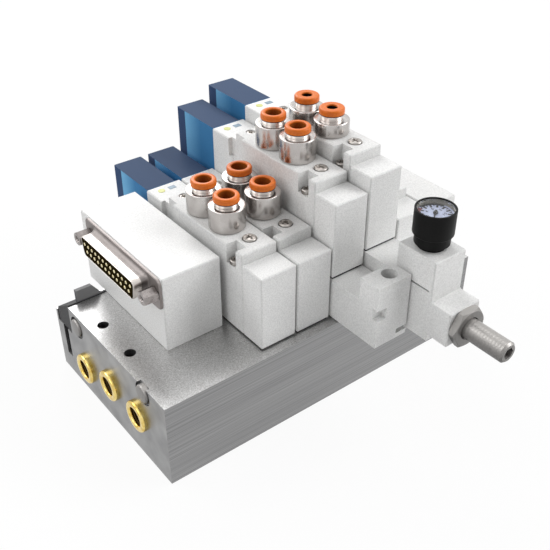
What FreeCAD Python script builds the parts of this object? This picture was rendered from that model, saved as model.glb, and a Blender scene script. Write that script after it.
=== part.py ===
import FreeCAD, Part
import math
import os

os.makedirs("parts", exist_ok=True)

# Pneumatic valve island. Lengths are in millimetres.
# Pieces are made with x from the base's left end, y from its front face and z from its foot.
# They are written with the origin at the centre of the base's foot.

# Row of stations along the base
station_pitch = 16.0
station_count = 6
row_start = 42.9
row_end_margin = 8.1
row_setback = 3.9
spacer_station_index = 3
regulator_station_index = 4
blank_station_index = 6

# Manifold base, an aluminium extrusion
base_height = 35.6
channel_start = 69.8
channel_width = 11.5
channel_floor = 22.8
slot_width = 3.9
slot_floor = 8.5
lip_thickness = 1.3
lip_drop = 7.6
gallery_radius = 4.0
front_gallery = (19.6, 18.1)
middle_gallery = (39.7, 18.0)
rear_gallery = (59.5, 12.5)
foot_hole_radius = 2.15
foot_hole_inset = 5.5
foot_hole_y = 32.0
foot_hole_spacing = 20.0
edge_break = 0.4

# Brass inserts on the left end and plugs on the right end
insert_radius = 4.85
insert_length = 7.0
insert_rim_radius = 6.5
insert_rim_height = 2.0
thread_radius = 4.28
plug_length = 8.0
plug_hex_width = 4.0
plug_hex_depth = 4.0

# Screws in pockets of the left end
end_screw_places = ((64.0, 29.4), (14.6, 32.0))
end_pocket_radius = 4.6
end_pocket_depth = 1.4
end_screw_radius = 3.6
end_screw_height = 2.2

# Duct cover in the rear channel; its top slopes down to the rear lip
duct_gap = 0.3
duct_rear_rise = 0.4
raised_end_rise = 0.6
hump_start = 4.3
hump_rise = 5.4
hump_thickness = 1.6
hump_flat_end = 10.9
hump_ramp_end = 14.4

# Connector head
housing_length = 23.8
housing_front = 24.4
housing_width = 58.6
housing_height = 30.8
housing_wall = 2.0
housing_start = 16.5
connector_drop = 6.4
connector_middle = 51.1
flange_width = 53.04
flange_height = 12.55
flange_thickness = 1.0
shell_width = 38.96
shell_height = 8.36
shell_slope = 10.0
shell_wall = 0.5
shell_reach = 6.7
contact_pitch = 2.77
contact_rows = 2.84
contact_radius = 0.72
contact_hole_radius = 0.45
long_row_count = 13
jackscrew_offset = 23.52
jackscrew_hex = 5.0
jackscrew_reach = 5.5
jackscrew_shank = 1.4
board_thickness = 1.6
board_distance = 5.5
board_drop = 2.5
board_height = 23.0

# Valve body and end cover
valve_width = 15.2
gasket_thickness = 0.7
gasket_inset = 0.5
end_cover_length = 11.1
end_cover_height = 30.2
body_length = 49.5
deck_height = 34.2
side_slot_width = 1.7
side_slot_length = 6.0
side_slot_depth = 10.2
adapter_slot_length = 3.0
notch_setback = 3.5
notch_length = 5.8
notch_width = 4.5
notch_depth = 7.4
spool_axis_height = 13.0
spool_radius = 3.55
spool_neck_radius = 2.2
spool_land_count = 5
spool_stroke = 2.5
passage_radius = 1.5
rear_passage_shift = 3.0

# Push-in fittings on the deck
fitting_setback = 19.2
fitting_spacing = 14.4
sleeve_radius = 6.8
tall_sleeve_height = 8.9
short_sleeve_height = 5.5
stem_radius = 4.95
stem_length = 5.0
ring_head_radius = 4.8
ring_head_height = 2.5
ring_lift = 1.5
low_ring_lift = 2.0
ring_travel = 1.3
ring_neck_radius = 4.0
ring_play = 0.7
socket_height = 1.5
large_tube_radius = 3.0
small_tube_radius = 2.0
tube_clearance = 0.05
tube_stop = 0.2

# Pilot adapter, overrides and blue cover
adapter_length = 14.1
adapter_height = 31.4
override_y = 10.2
left_override_x = 4.6
right_override_x = 9.4
override_radius = 1.4
override_key_length = 3.0
override_key_width = 2.2
override_rise = 0.1
override_travel = 1.2
override_shoulder_radius = 1.95
override_shoulder_height = 1.3
override_collar_depth = 2.0
override_spring_room = 2.4
cover_length = 26.7
cover_inset_left = 0.35
cover_inset_right = 2.2
cover_height = 25.7
cover_wall = 1.2
cover_round = 0.5
coil_radius = 4.6
coil_length = 20.0

# Screws
screw_shank_radius = 1.25
screw_clearance = 0.1
screw_grip = 6.0
head_height = 1.8
head_radius = 2.55
head_counterbore = 1.0
small_head_radius = 2.1
rear_head_radius = 1.7
rear_counterbore = 2.0
cross_width = 0.8
cross_depth = 0.7
deck_screw_x = 8.8
deck_screw_setback = 7.3
deck_screw_length = 12.0
notch_screw_x = 2.2
notch_screw_setback = 6.9
rear_screw_x = 6.9
rear_screw_inset = 2.4

# Supply spacer under the third valve
spacer_height = 16.5
spacer_arm_reach = 23.8
spacer_port_length = 9.4
spacer_port_rise = 9.2
spacer_port_x = 9.5
spacer_port_radius = 3.0
spacer_port_depth = 12.0
spacer_bore_radius = 2.2
spacer_round = 3.0
side_passage_x = 12.0
side_passage_radius = 1.6
clip_slot_bottom = 48.0
clip_slot_height = 4.6
clip_slot_depth = 2.4
clip_slot_length = 4.5
foot_notch_length = 5.0
foot_notch_height = 2.0

# Interface regulator under the fourth valve
regulator_height = 22.1
regulator_reach = 33.2
regulator_lift = 1.7
chamber_radius = 5.0
chamber_depth = 21.0
screw_axis_height = 47.6
adjuster_length = 9.0
adjuster_top = 54.7
adjuster_bottom = 40.6
adjusting_radius = 4.0
adjusting_length = 31.8
adjusting_chamfer = 0.8
adjusting_hex_width = 4.0
adjusting_hex_depth = 4.0
running_clearance = 0.05
nut_width = 14.0
nut_thickness = 3.2
seat_radius = 4.6
seat_thickness = 3.0
seat_travel = 2.0
end_gap = 0.4

# Gauge on the regulator
gauge_block_length = 17.8
gauge_block_height = 11.9
gauge_setback = 9.3
gauge_skirt_thickness = 1.5
gauge_shank_radius = 3.3
gauge_shank_length = 6.0
gauge_neck = 1.3
gauge_neck_inset = 1.2
gauge_base_radius = 6.4
gauge_base_height = 4.0
gauge_case_radius = 7.3
gauge_case_height = 9.6
gauge_rim = 0.8
dial_depth = 2.6
dial_thickness = 0.6
lens_thickness = 0.7
lens_depth = 0.4
pointer_length = 4.3
pointer_tail = 1.6
pointer_width = 0.5
pointer_thickness = 0.3
pointer_hub_radius = 0.8
pointer_lift = 0.25
pointer_pin_radius = 0.35
pointer_pin_length = 2.0
pointer_angle = 215.0

# Blanking block on the last station
blank_height = 30.1

# Sizes that follow from the ones above
base_length = row_start + station_count * station_pitch + row_end_margin
base_depth = channel_start + channel_width + lip_thickness
gasket_top = base_height + gasket_thickness
spacer_lift = spacer_height + gasket_thickness
regulator_raise = regulator_height + gasket_thickness
body_start = row_setback + end_cover_length
adapter_start = body_start + body_length
cover_start = adapter_start + adapter_length
valve_middle = valve_width / 2
spool_bore_radius = spool_radius + running_clearance
spool_length = body_length - side_slot_length - spool_stroke - 2 * end_gap
override_depth = override_collar_depth + override_shoulder_height + override_travel + override_spring_room
hole_radius = screw_shank_radius + screw_clearance
passages = (front_gallery, middle_gallery, (rear_gallery[0] - rear_passage_shift, rear_gallery[1]))
connector_height = base_height + housing_height - connector_drop


def box(x0, x1, y0, y1, z0, z1):
    """Block between two corners."""
    return Part.makeBox(x1 - x0, y1 - y0, z1 - z0, FreeCAD.Vector(x0, y0, z0))


def rod(x, y, z, radius, length, axis=(0, 0, 1)):
    """Round bar that starts at a point and runs along an axis."""
    return Part.makeCylinder(radius, length, FreeCAD.Vector(x, y, z), FreeCAD.Vector(*axis))


def turned(profile, x, y, z):
    """Solid of revolution about a vertical axis; the profile lists (radius, height) corners."""
    corners = [FreeCAD.Vector(r, 0, h) for r, h in profile]
    face = Part.Face(Part.makePolygon(corners + corners[:1]))
    solid = face.revolve(FreeCAD.Vector(), FreeCAD.Vector(0, 0, 1), 360)
    solid.translate(FreeCAD.Vector(x, y, z))
    return solid


def hexagon(x, y, z, across_flats, length, axis=(0, 0, 1)):
    """Six-sided bar that starts at a point and runs along an axis."""
    radius = across_flats / math.sqrt(3)
    turns = [math.radians(60 * i) for i in range(6)]
    corners = [FreeCAD.Vector(radius * math.cos(turn), radius * math.sin(turn), 0) for turn in turns]
    face = Part.Face(Part.makePolygon(corners + corners[:1]))
    bar = face.extrude(FreeCAD.Vector(0, 0, length))
    turn = FreeCAD.Rotation(FreeCAD.Vector(0, 0, 1), FreeCAD.Vector(*axis))
    bar.Placement = FreeCAD.Placement(FreeCAD.Vector(x, y, z), turn)
    return bar


def eased(block, sharp=None):
    """Block with its edges broken by a small chamfer, apart from those whose middle passes the test."""
    edges = [edge for edge in block.Edges if sharp is None or not sharp(edge.CenterOfMass)]
    return block.makeChamfer(edge_break, edges)


def upright_rounded(block, radius, test):
    """Block with a fillet on the upright edges whose middle passes the test."""
    edges = []
    for edge in block.Edges:
        middle = edge.CenterOfMass
        direction = edge.tangentAt(edge.FirstParameter)
        if abs(direction.z) > 0.99 and test(middle):
            edges.append(edge)
    return block.makeFillet(radius, edges)


def save(name, *solids):
    """Writes one node, moved so that the origin is the centre of the base's foot."""
    pieces = []
    for solid in solids:
        for piece in solid.Solids:
            moved = piece.copy()
            moved.translate(FreeCAD.Vector(-base_length / 2, -base_depth / 2, 0))
            pieces.append(moved)
    shape = pieces[0] if len(pieces) == 1 else Part.makeCompound(pieces)
    shape.exportStep("parts/" + name + ".step")


def station_left(station):
    """Left side of a station's valve."""
    return row_start + (station - 1) * station_pitch


def station_foot(station):
    """Height of the underside of a station's valve."""
    lifts = {spacer_station_index: spacer_lift, regulator_station_index: regulator_raise}
    return gasket_top + lifts.get(station, 0)


def valve_stations():
    """Stations that carry a valve."""
    return [station for station in range(1, station_count + 1) if station != blank_station_index]


def sleeve_height(station):
    """Height of a station's fittings above the deck."""
    return short_sleeve_height if station == regulator_station_index else tall_sleeve_height


def tube_radius(station):
    """Radius of a station's tube holes."""
    size = small_tube_radius if station == regulator_station_index else large_tube_radius
    return size + tube_clearance


def fitting_places(station):
    """Front and rear fitting axes of a station."""
    front = body_start + fitting_setback
    x = station_left(station) + valve_middle
    return {"a": (x, front), "b": (x, front + fitting_spacing)}


def override_places(station):
    """Axes of the two override buttons of a station."""
    left = station_left(station)
    y = adapter_start + override_y
    return {"a": (left + left_override_x, y), "b": (left + right_override_x, y)}


def through_screw_places(station):
    """Axes of the two screws that hold a station's stack to the base."""
    left = station_left(station)
    return [(left + notch_screw_x, body_start + notch_screw_setback),
            (left + rear_screw_x, adapter_start - rear_screw_inset)]


def stack_holes(station, bottom, height):
    """Screw holes and air passages through a layer of a station's stack."""
    x = station_left(station) + valve_middle
    holes = [rod(sx, sy, bottom, hole_radius, height) for sx, sy in through_screw_places(station)]
    holes += [rod(x, y, bottom, passage_radius, height) for y, _ in passages]
    return holes


def manifold_base():
    """Extrusion with galleries, rear channel, mounting holes and screw pockets."""
    block = box(0, base_length, 0, base_depth, 0, base_height)
    lip_top = base_height - lip_drop
    cuts = [
        box(0, base_length, channel_start, base_depth - lip_thickness, channel_floor, base_height),
        box(0, base_length, base_depth - lip_thickness, base_depth, lip_top, base_height),
    ]
    slot_middle = channel_start + channel_width / 2
    cuts.append(box(0, base_length, slot_middle - slot_width / 2, slot_middle + slot_width / 2,
                    slot_floor, channel_floor))
    for y, z in (front_gallery, middle_gallery, rear_gallery):
        cuts.append(rod(0, y, z, gallery_radius, base_length, (1, 0, 0)))
        cuts.append(rod(0, y, z, insert_radius, insert_length, (1, 0, 0)))
        cuts.append(rod(base_length - plug_length, y, z, insert_radius, plug_length, (1, 0, 0)))
    for x in (foot_hole_inset, base_length - foot_hole_inset):
        for y in (foot_hole_y, foot_hole_y + foot_hole_spacing):
            cuts.append(rod(x, y, 0, foot_hole_radius, base_height))
    for station in range(1, station_count + 1):
        x = station_left(station) + valve_middle
        for sx, sy in through_screw_places(station):
            cuts.append(rod(sx, sy, base_height - screw_grip - 1, hole_radius, screw_grip + 1))
        for y, z in passages:
            cuts.append(rod(x, y, z, passage_radius, base_height - z))
    for y, z in end_screw_places:
        cuts.append(rod(0, y, z, end_pocket_radius, end_pocket_depth, (1, 0, 0)))
    return block.cut(cuts)


def port_inserts():
    """Brass inserts with a rounded rim on the left end, and socket plugs on the right end."""
    solids = []
    rim_round = insert_rim_height * 0.45
    for y, z in (front_gallery, middle_gallery, rear_gallery):
        rim = rod(-insert_rim_height, y, z, insert_rim_radius, insert_rim_height, (1, 0, 0))
        outer = [edge for edge in rim.Edges
                 if edge.CenterOfMass.x < -insert_rim_height / 2 and edge.isClosed()]
        rim = rim.makeFillet(rim_round, outer)
        body = rim.fuse(rod(0, y, z, insert_radius, insert_length, (1, 0, 0)))
        mouth = Part.makeCone(thread_radius + rim_round, thread_radius, rim_round,
                              FreeCAD.Vector(-insert_rim_height, y, z), FreeCAD.Vector(1, 0, 0))
        bore = rod(-insert_rim_height, y, z, thread_radius, insert_rim_height + insert_length, (1, 0, 0))
        solids.append(body.cut([mouth, bore]).removeSplitter())
        plug = rod(base_length - plug_length, y, z, insert_radius, plug_length, (1, 0, 0))
        socket = hexagon(base_length - plug_hex_depth, y, z, plug_hex_width, plug_hex_depth, (1, 0, 0))
        solids.append(plug.cut(socket))
    return solids


def end_screws():
    """Round-headed screws that lie in the pockets of the left end."""
    solids = []
    for y, z in end_screw_places:
        head = rod(end_pocket_depth - end_screw_height, y, z, end_screw_radius, end_screw_height, (1, 0, 0))
        outer = [edge for edge in head.Edges if edge.CenterOfMass.x < 0 and edge.isClosed()]
        solids.append(head.makeFillet(end_screw_height * 0.4, outer))
    return solids


def sloped_bar(x0, x1, front_top):
    """Bar in the rear channel whose top falls from a front height towards the rear lip."""
    front = channel_start + duct_gap
    back = base_depth - lip_thickness - duct_gap
    fall = lip_drop - duct_gap - duct_rear_rise
    corners = [FreeCAD.Vector(x0, front, channel_floor), FreeCAD.Vector(x0, back, channel_floor),
               FreeCAD.Vector(x0, back, front_top - fall), FreeCAD.Vector(x0, front, front_top)]
    face = Part.Face(Part.makePolygon(corners + corners[:1]))
    return face.extrude(FreeCAD.Vector(x1 - x0, 0, 0))


def rear_duct_cover():
    """Long cover in the rear channel, with a raised end and a thin ramped tab beside the connector head."""
    end = housing_start - duct_gap
    strip = sloped_bar(duct_gap, base_length - duct_gap, base_height - duct_gap)
    raised = sloped_bar(duct_gap, end, base_height + raised_end_rise)
    foot = base_height + raised_end_rise
    top = base_height + hump_rise
    front = channel_start + duct_gap
    hump = box(hump_start, hump_ramp_end, front, front + hump_thickness, channel_floor, top)
    ramp = [FreeCAD.Vector(hump_flat_end, 0, top), FreeCAD.Vector(hump_ramp_end, 0, foot),
            FreeCAD.Vector(hump_ramp_end, 0, top)]
    wedge = Part.Face(Part.makePolygon(ramp + ramp[:1])).extrude(FreeCAD.Vector(0, base_depth, 0))
    return strip.fuse([raised, hump.cut(wedge)]).removeSplitter()


def connector_housing():
    """White shell, open below, with a window for the connector."""
    left = housing_start
    right = housing_start + housing_length
    back = housing_front + housing_width
    top = base_height + housing_height
    shell = eased(box(left, right, housing_front, back, base_height, top))
    wall = housing_wall
    room = box(left + wall, right - wall, housing_front + wall, back - wall, base_height, top - wall)
    window = box(left, left + wall, connector_middle - shell_width / 2 - shell_wall,
                 connector_middle + shell_width / 2 + shell_wall,
                 connector_height - shell_height / 2 - shell_wall,
                 connector_height + shell_height / 2 + shell_wall)
    holes = [rod(left, connector_middle + side * jackscrew_offset, connector_height,
                 jackscrew_shank + screw_clearance, wall, (1, 0, 0)) for side in (-1, 1)]
    return shell.cut([room, window] + holes)


def d_shape(x0, x1, inset):
    """Solid with the connector's D outline, wide side up, drawn in from the shell by an inset."""
    half_width = shell_width / 2 - inset
    half_height = shell_height / 2 - inset
    slope = math.tan(math.radians(shell_slope)) * 2 * half_height
    outline = [(-half_width, half_height), (half_width, half_height),
               (half_width - slope, -half_height), (-half_width + slope, -half_height)]
    corners = [FreeCAD.Vector(x0, connector_middle + y, connector_height + z) for y, z in outline]
    face = Part.Face(Part.makePolygon(corners + corners[:1]))
    block = face.extrude(FreeCAD.Vector(x1 - x0, 0, 0))
    long_edges = [edge for edge in block.Edges
                  if abs(edge.tangentAt(edge.FirstParameter).x) > 0.99]
    return block.makeFillet(half_height * 0.35, long_edges)


def contact_places():
    """Centres of the contacts: the longer row above the shorter one."""
    places = []
    for row, count in ((1, long_row_count), (-1, long_row_count - 1)):
        for i in range(count):
            offset = (i - (count - 1) / 2) * contact_pitch
            places.append((connector_middle + offset, connector_height + row * contact_rows / 2))
    return places


def dsub_shell():
    """Metal flange with the D-shaped collar."""
    face = housing_start
    flange = box(face - flange_thickness, face, connector_middle - flange_width / 2,
                 connector_middle + flange_width / 2, connector_height - flange_height / 2,
                 connector_height + flange_height / 2)
    long_edges = [edge for edge in flange.Edges
                  if abs(edge.tangentAt(edge.FirstParameter).x) > 0.99]
    flange = flange.makeFillet(flange_thickness * 1.5, long_edges)
    collar = d_shape(face - shell_reach, face, 0)
    holes = [rod(face - flange_thickness, connector_middle + side * jackscrew_offset, connector_height,
                 jackscrew_shank + screw_clearance, flange_thickness, (1, 0, 0)) for side in (-1, 1)]
    return flange.fuse(collar).cut([d_shape(face - shell_reach, face, shell_wall)] + holes).removeSplitter()


def dsub_insulator():
    """Black insulator with a hole for each contact."""
    face = housing_start
    block = d_shape(face - shell_reach, face + board_distance, shell_wall)
    holes = [rod(face - shell_reach, y, z, contact_radius, shell_reach + board_distance, (1, 0, 0))
             for y, z in contact_places()]
    return block.cut(holes)


def dsub_contacts():
    """Gold socket contacts that reach the circuit board."""
    face = housing_start
    contacts = []
    for y, z in contact_places():
        pin = rod(face - shell_reach, y, z, contact_radius, shell_reach + board_distance, (1, 0, 0))
        contacts.append(pin.cut(rod(face - shell_reach, y, z, contact_hole_radius, shell_reach, (1, 0, 0))))
    return contacts


def dsub_jackscrews():
    """Hexagonal standoffs beside the collar, with a shank into the housing and a threaded hole."""
    solids = []
    start = housing_start - flange_thickness - jackscrew_reach
    length = jackscrew_reach + flange_thickness + housing_wall
    for side in (-1, 1):
        y = connector_middle + side * jackscrew_offset
        post = hexagon(start, y, connector_height, jackscrew_hex, jackscrew_reach, (1, 0, 0))
        post = post.fuse(rod(start, y, connector_height, jackscrew_shank, length, (1, 0, 0)))
        solids.append(post.cut(rod(start, y, connector_height, jackscrew_shank - 0.2, jackscrew_reach * 0.7,
                                   (1, 0, 0))).removeSplitter())
    return solids


def connector_board():
    """Circuit board across the housing, behind the insulator."""
    start = housing_start + board_distance
    top = base_height + housing_height - housing_wall - board_drop
    return box(start, start + board_thickness, housing_front + housing_wall,
               housing_front + housing_width - housing_wall, top - board_height, top)


def valve_body(station):
    """Body with the deck, notch, rear side slot, spool bore, passages and fitting sockets."""
    left = station_left(station)
    foot = station_foot(station)
    deck = foot + deck_height
    block = eased(box(left, left + valve_width, body_start, adapter_start, foot, deck))
    slot = box(left, left + side_slot_width, adapter_start - side_slot_length, adapter_start,
               deck - side_slot_depth, deck)
    notch_front = body_start + notch_setback
    notch = box(left, left + notch_width, notch_front, notch_front + notch_length, deck - notch_depth, deck)
    rear_x, rear_y = through_screw_places(station)[1]
    bore = rod(left + valve_middle, body_start, foot + spool_axis_height, spool_bore_radius,
               body_length - side_slot_length, (0, 1, 0))
    pocket_radius = rear_head_radius + screw_clearance * 2
    pocket = rod(rear_x, rear_y, deck - rear_counterbore, pocket_radius, rear_counterbore)
    cuts = [slot, notch, bore, pocket]
    cuts += [rod(sx, sy, foot, hole_radius, deck_height) for sx, sy in through_screw_places(station)]
    cuts += [rod(left + valve_middle, y, foot, passage_radius, spool_axis_height) for y, _ in passages]
    for x, y in fitting_places(station).values():
        cuts.append(rod(x, y, deck - stem_length, stem_radius + screw_clearance, stem_length))
        cuts.append(rod(x, y, foot + spool_axis_height, passage_radius, deck_height - spool_axis_height))
    screw_y = body_start + deck_screw_setback
    cuts.append(rod(left + deck_screw_x, screw_y, deck - head_counterbore, head_radius + screw_clearance * 2,
                    head_counterbore))
    cuts.append(rod(left + deck_screw_x, screw_y, deck - head_counterbore - deck_screw_length, hole_radius,
                    deck_screw_length))
    return block.cut(cuts)


def end_cover(station):
    """Cap on the front of the valve body."""
    left = station_left(station)
    foot = station_foot(station)
    return eased(box(left, left + valve_width, row_setback, body_start, foot, foot + end_cover_height))


def spool(station):
    """Turned spool with lands and necks, at the front of its stroke."""
    left = station_left(station)
    land = spool_length / (2 * spool_land_count - 1)
    profile = [(0, 0)]
    for i in range(spool_land_count):
        start = 2 * i * land
        profile += [(spool_radius, start), (spool_radius, start + land)]
        if i < spool_land_count - 1:
            profile += [(spool_neck_radius, start + land), (spool_neck_radius, start + 2 * land)]
    profile.append((0, spool_length))
    solid = turned(profile, 0, 0, 0)
    solid.rotate(FreeCAD.Vector(), FreeCAD.Vector(1, 0, 0), -90)
    solid.translate(FreeCAD.Vector(left + valve_middle, body_start + end_gap,
                                   station_foot(station) + spool_axis_height))
    return solid


def pilot_adapter(station):
    """White block behind the body, with stepped holes for the override buttons."""
    left = station_left(station)
    foot = station_foot(station)
    top = foot + adapter_height
    block = eased(box(left, left + valve_width, adapter_start, cover_start, foot, top))
    places = override_places(station)
    deck = foot + deck_height
    cuts = [box(left, left + side_slot_width, adapter_start, adapter_start + adapter_slot_length,
                deck - side_slot_depth, top)]
    for x, y in places.values():
        cuts.append(rod(x, y, top - override_depth, override_shoulder_radius + running_clearance,
                        override_depth - override_collar_depth))
    x, y = places["a"]
    cuts.append(rod(x, y, top - override_collar_depth, override_radius + running_clearance,
                    override_collar_depth))
    x, y = places["b"]
    length = override_key_length / 2 + running_clearance
    width = override_key_width / 2 + running_clearance
    cuts.append(box(x - length, x + length, y - width, y + width, top - override_collar_depth, top))
    return block.cut(cuts)


def override_button(station, side):
    """Button with a shoulder that the adapter's collar holds; the first is round, the second a key."""
    x, y = override_places(station)[side]
    top = station_foot(station) + adapter_height
    shoulder_top = top - override_collar_depth - running_clearance
    shoulder = rod(x, y, shoulder_top - override_shoulder_height, override_shoulder_radius,
                   override_shoulder_height)
    rise = top + override_rise - shoulder_top
    if side == "a":
        head = rod(x, y, shoulder_top, override_radius, rise)
    else:
        head = box(x - override_key_length / 2, x + override_key_length / 2, y - override_key_width / 2,
                   y + override_key_width / 2, shoulder_top, shoulder_top + rise)
    return head.fuse(shoulder).removeSplitter()


def pilot_cover(station):
    """Blue shell, open towards the adapter, with rounded rear corners."""
    left = station_left(station) + cover_inset_left
    right = station_left(station) + valve_width - cover_inset_right
    top = station_foot(station) + adapter_height
    bottom = top - cover_height
    back = cover_start + cover_length
    shell = box(left, right, cover_start, back, bottom, top)
    shell = upright_rounded(shell, cover_round, lambda middle: middle.y > back - 0.1)
    wall = cover_wall
    return shell.cut(box(left + wall, right - wall, cover_start, back - wall, bottom + wall, top - wall))


def pilot_coils(station):
    """Two coils, one above the other, seated on the adapter inside the cover."""
    left = station_left(station)
    x = left + (cover_inset_left + valve_width - cover_inset_right) / 2
    top = station_foot(station) + adapter_height
    quarter = cover_height / 4
    return [rod(x, cover_start, top - share * quarter, coil_radius, coil_length, (0, 1, 0))
            for share in (1, 3)]


def gasket(station, bottom):
    """Thin gasket under one layer of a station's stack."""
    left = station_left(station)
    plate = box(left + gasket_inset, left + valve_width - gasket_inset, row_setback + gasket_inset,
                cover_start - gasket_inset, bottom, bottom + gasket_thickness)
    return plate.cut(stack_holes(station, bottom, gasket_thickness))


def gauge_gasket():
    """Thin gasket between the regulator body and the gauge block."""
    left = station_left(regulator_station_index)
    front = row_setback - regulator_reach
    bottom = gasket_top + regulator_height
    return box(left + gasket_inset, left + valve_width - gasket_inset,
               front + gauge_skirt_thickness + gasket_inset, front + gauge_block_length - gasket_inset,
               bottom, bottom + gasket_thickness)


def screw(x, y, head_bottom, radius, length):
    """Cross-recessed screw with its head upwards."""
    head = rod(x, y, head_bottom, radius, head_height)
    rim = [edge for edge in head.Edges if edge.CenterOfMass.z > head_bottom + 0.1 and edge.isClosed()]
    head = head.makeFillet(head_height * 0.3, rim)
    shank = rod(x, y, head_bottom - length, screw_shank_radius, length)
    top = head_bottom + head_height
    arm = radius * 0.6
    slot = cross_width / 2
    recess = [box(x - arm, x + arm, y - slot, y + slot, top - cross_depth, top),
              box(x - slot, x + slot, y - arm, y + arm, top - cross_depth, top)]
    return head.fuse(shank).cut(recess).removeSplitter()


def station_screws(station):
    """Deck screw, notch screw and rear screw of a valve."""
    deck = station_foot(station) + deck_height
    grip_bottom = base_height - screw_grip
    deck_place = (station_left(station) + deck_screw_x, body_start + deck_screw_setback)
    notch_place, rear_place = through_screw_places(station)
    notch_floor = deck - notch_depth
    rear_bottom = deck - rear_counterbore
    return [
        screw(*deck_place, deck - head_counterbore, head_radius, deck_screw_length - 1),
        screw(*notch_place, notch_floor, small_head_radius, notch_floor - grip_bottom),
        screw(*rear_place, rear_bottom, rear_head_radius, rear_bottom - grip_bottom),
    ]


def fitting_sleeve(station, side):
    """Metal sleeve of a push-in fitting: guide for the release ring, tube socket and stem."""
    x, y = fitting_places(station)[side]
    deck = station_foot(station) + deck_height
    top = deck + sleeve_height(station)
    bottom = deck - stem_length
    socket = tube_radius(station)
    guide = ring_neck_radius + running_clearance
    profile = [
        (passage_radius, bottom), (stem_radius, bottom), (stem_radius, deck),
        (sleeve_radius - edge_break, deck), (sleeve_radius, deck + edge_break),
        (sleeve_radius, top - edge_break), (sleeve_radius - edge_break, top),
        (guide, top), (guide, deck + socket_height), (socket, deck + socket_height),
        (socket, deck + tube_stop), (passage_radius, deck + tube_stop),
    ]
    return turned(profile, x, y, 0)


def release_ring(station, side):
    """Orange ring that frees the tube when it is pressed, with a neck inside the sleeve."""
    x, y = fitting_places(station)[side]
    deck = station_foot(station) + deck_height
    lift = low_ring_lift if station == regulator_station_index else ring_lift
    head_bottom = deck + sleeve_height(station) + lift
    neck_bottom = deck + socket_height + ring_play + ring_travel
    head_top = head_bottom + ring_head_height
    hole = tube_radius(station)
    lead = edge_break
    profile = [
        (hole, neck_bottom), (ring_neck_radius, neck_bottom),
        (ring_neck_radius, head_bottom), (ring_head_radius - lead, head_bottom),
        (ring_head_radius, head_bottom + lead), (ring_head_radius, head_top - lead),
        (ring_head_radius - lead, head_top), (hole + lead, head_top), (hole, head_top - lead),
    ]
    return turned(profile, x, y, 0)


def supply_spacer():
    """Slab under the lifted valve, with an arm and its own supply port in front of the base."""
    left = station_left(spacer_station_index)
    right = left + valve_width
    front = row_setback - spacer_arm_reach
    slab_top = gasket_top + spacer_height
    port_top = slab_top + spacer_port_rise
    port_back = front + spacer_port_length
    slab = box(left, right, front, cover_start, gasket_top, slab_top)
    port = box(left, right, front, port_back, gasket_top, port_top)
    port = upright_rounded(port, spacer_round, lambda middle: middle.x > right - 0.1 and middle.y > front + 1)
    body = slab.fuse(port)
    x = left + spacer_port_x
    y = port_back - spacer_port_length / 2 + 0.4
    turn_height = gasket_top + spacer_height / 2
    side_x = left + side_passage_x
    radius = side_passage_radius
    cuts = stack_holes(spacer_station_index, gasket_top, spacer_height)
    cuts[3] = rod(left + valve_middle, middle_gallery[0], turn_height, passage_radius, slab_top - turn_height)
    cuts += [
        rod(x, y, port_top - spacer_port_depth, spacer_port_radius, spacer_port_depth),
        rod(x, y, turn_height, spacer_bore_radius, port_top - spacer_port_depth - turn_height),
        rod(side_x, y, turn_height, radius, middle_gallery[0] - y, (0, 1, 0)),
        rod(left + valve_middle, middle_gallery[0], turn_height, radius,
            side_passage_x - valve_middle, (1, 0, 0)),
        box(left, left + clip_slot_depth, front, front + clip_slot_depth,
            clip_slot_bottom, clip_slot_bottom + clip_slot_height),
        box(left, left + clip_slot_length, front, front + clip_slot_depth,
            clip_slot_bottom, clip_slot_bottom + clip_slot_height),
        box(right - foot_notch_length, right, front, front + clip_slot_depth,
            gasket_top + foot_notch_height, gasket_top + 2 * foot_notch_height),
    ]
    return body.cut(cuts).removeSplitter()


def regulator_body():
    """Slab under the lifted valve that runs forward to the adjuster, with the spring chamber."""
    left = station_left(regulator_station_index)
    right = left + valve_width
    front = row_setback - regulator_reach
    top = gasket_top + regulator_height
    slab = box(left, right, front, cover_start, gasket_top, top)
    under = box(left, right, front, -edge_break, gasket_top, gasket_top + regulator_lift)
    middle = left + valve_middle
    side_x = left + side_passage_x
    y = front + chamber_depth
    radius = side_passage_radius
    cuts = stack_holes(regulator_station_index, gasket_top, regulator_height)
    cuts[3] = rod(middle, middle_gallery[0], screw_axis_height, passage_radius, top - screw_axis_height)
    cuts += [
        under,
        gauge_skirt(top),
        rod(middle, front, screw_axis_height, chamber_radius, chamber_depth, (0, 1, 0)),
        rod(side_x, y - 2, screw_axis_height, radius, middle_gallery[0] - y + 2, (0, 1, 0)),
        rod(middle, middle_gallery[0], screw_axis_height, radius, side_passage_x - valve_middle, (1, 0, 0)),
    ]
    return slab.cut(cuts)


def gauge_place():
    """Axis of the gauge."""
    x = station_left(regulator_station_index) + valve_middle
    return x, row_setback - regulator_reach + gauge_setback


def gauge_skirt(top):
    """Room of the gauge block's skirt, from the adjuster's top up to a height."""
    left = station_left(regulator_station_index)
    front = row_setback - regulator_reach
    return box(left, left + valve_width, front, front + gauge_skirt_thickness, adjuster_top, top)


def gauge_block():
    """Block on the regulator that carries the gauge, with a skirt over the regulator's front."""
    left = station_left(regulator_station_index)
    front = row_setback - regulator_reach
    bottom = gasket_top + regulator_height + gasket_thickness
    top = bottom + gauge_block_height
    block = box(left, left + valve_width, front, front + gauge_block_length, bottom, top)
    block = block.fuse(gauge_skirt(bottom)).removeSplitter()
    block = eased(block, lambda middle: middle.z < bottom + edge_break)
    x, y = gauge_place()
    return block.cut(rod(x, y, top - gauge_shank_length - 1, gauge_shank_radius + running_clearance,
                         gauge_shank_length + 1))


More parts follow.
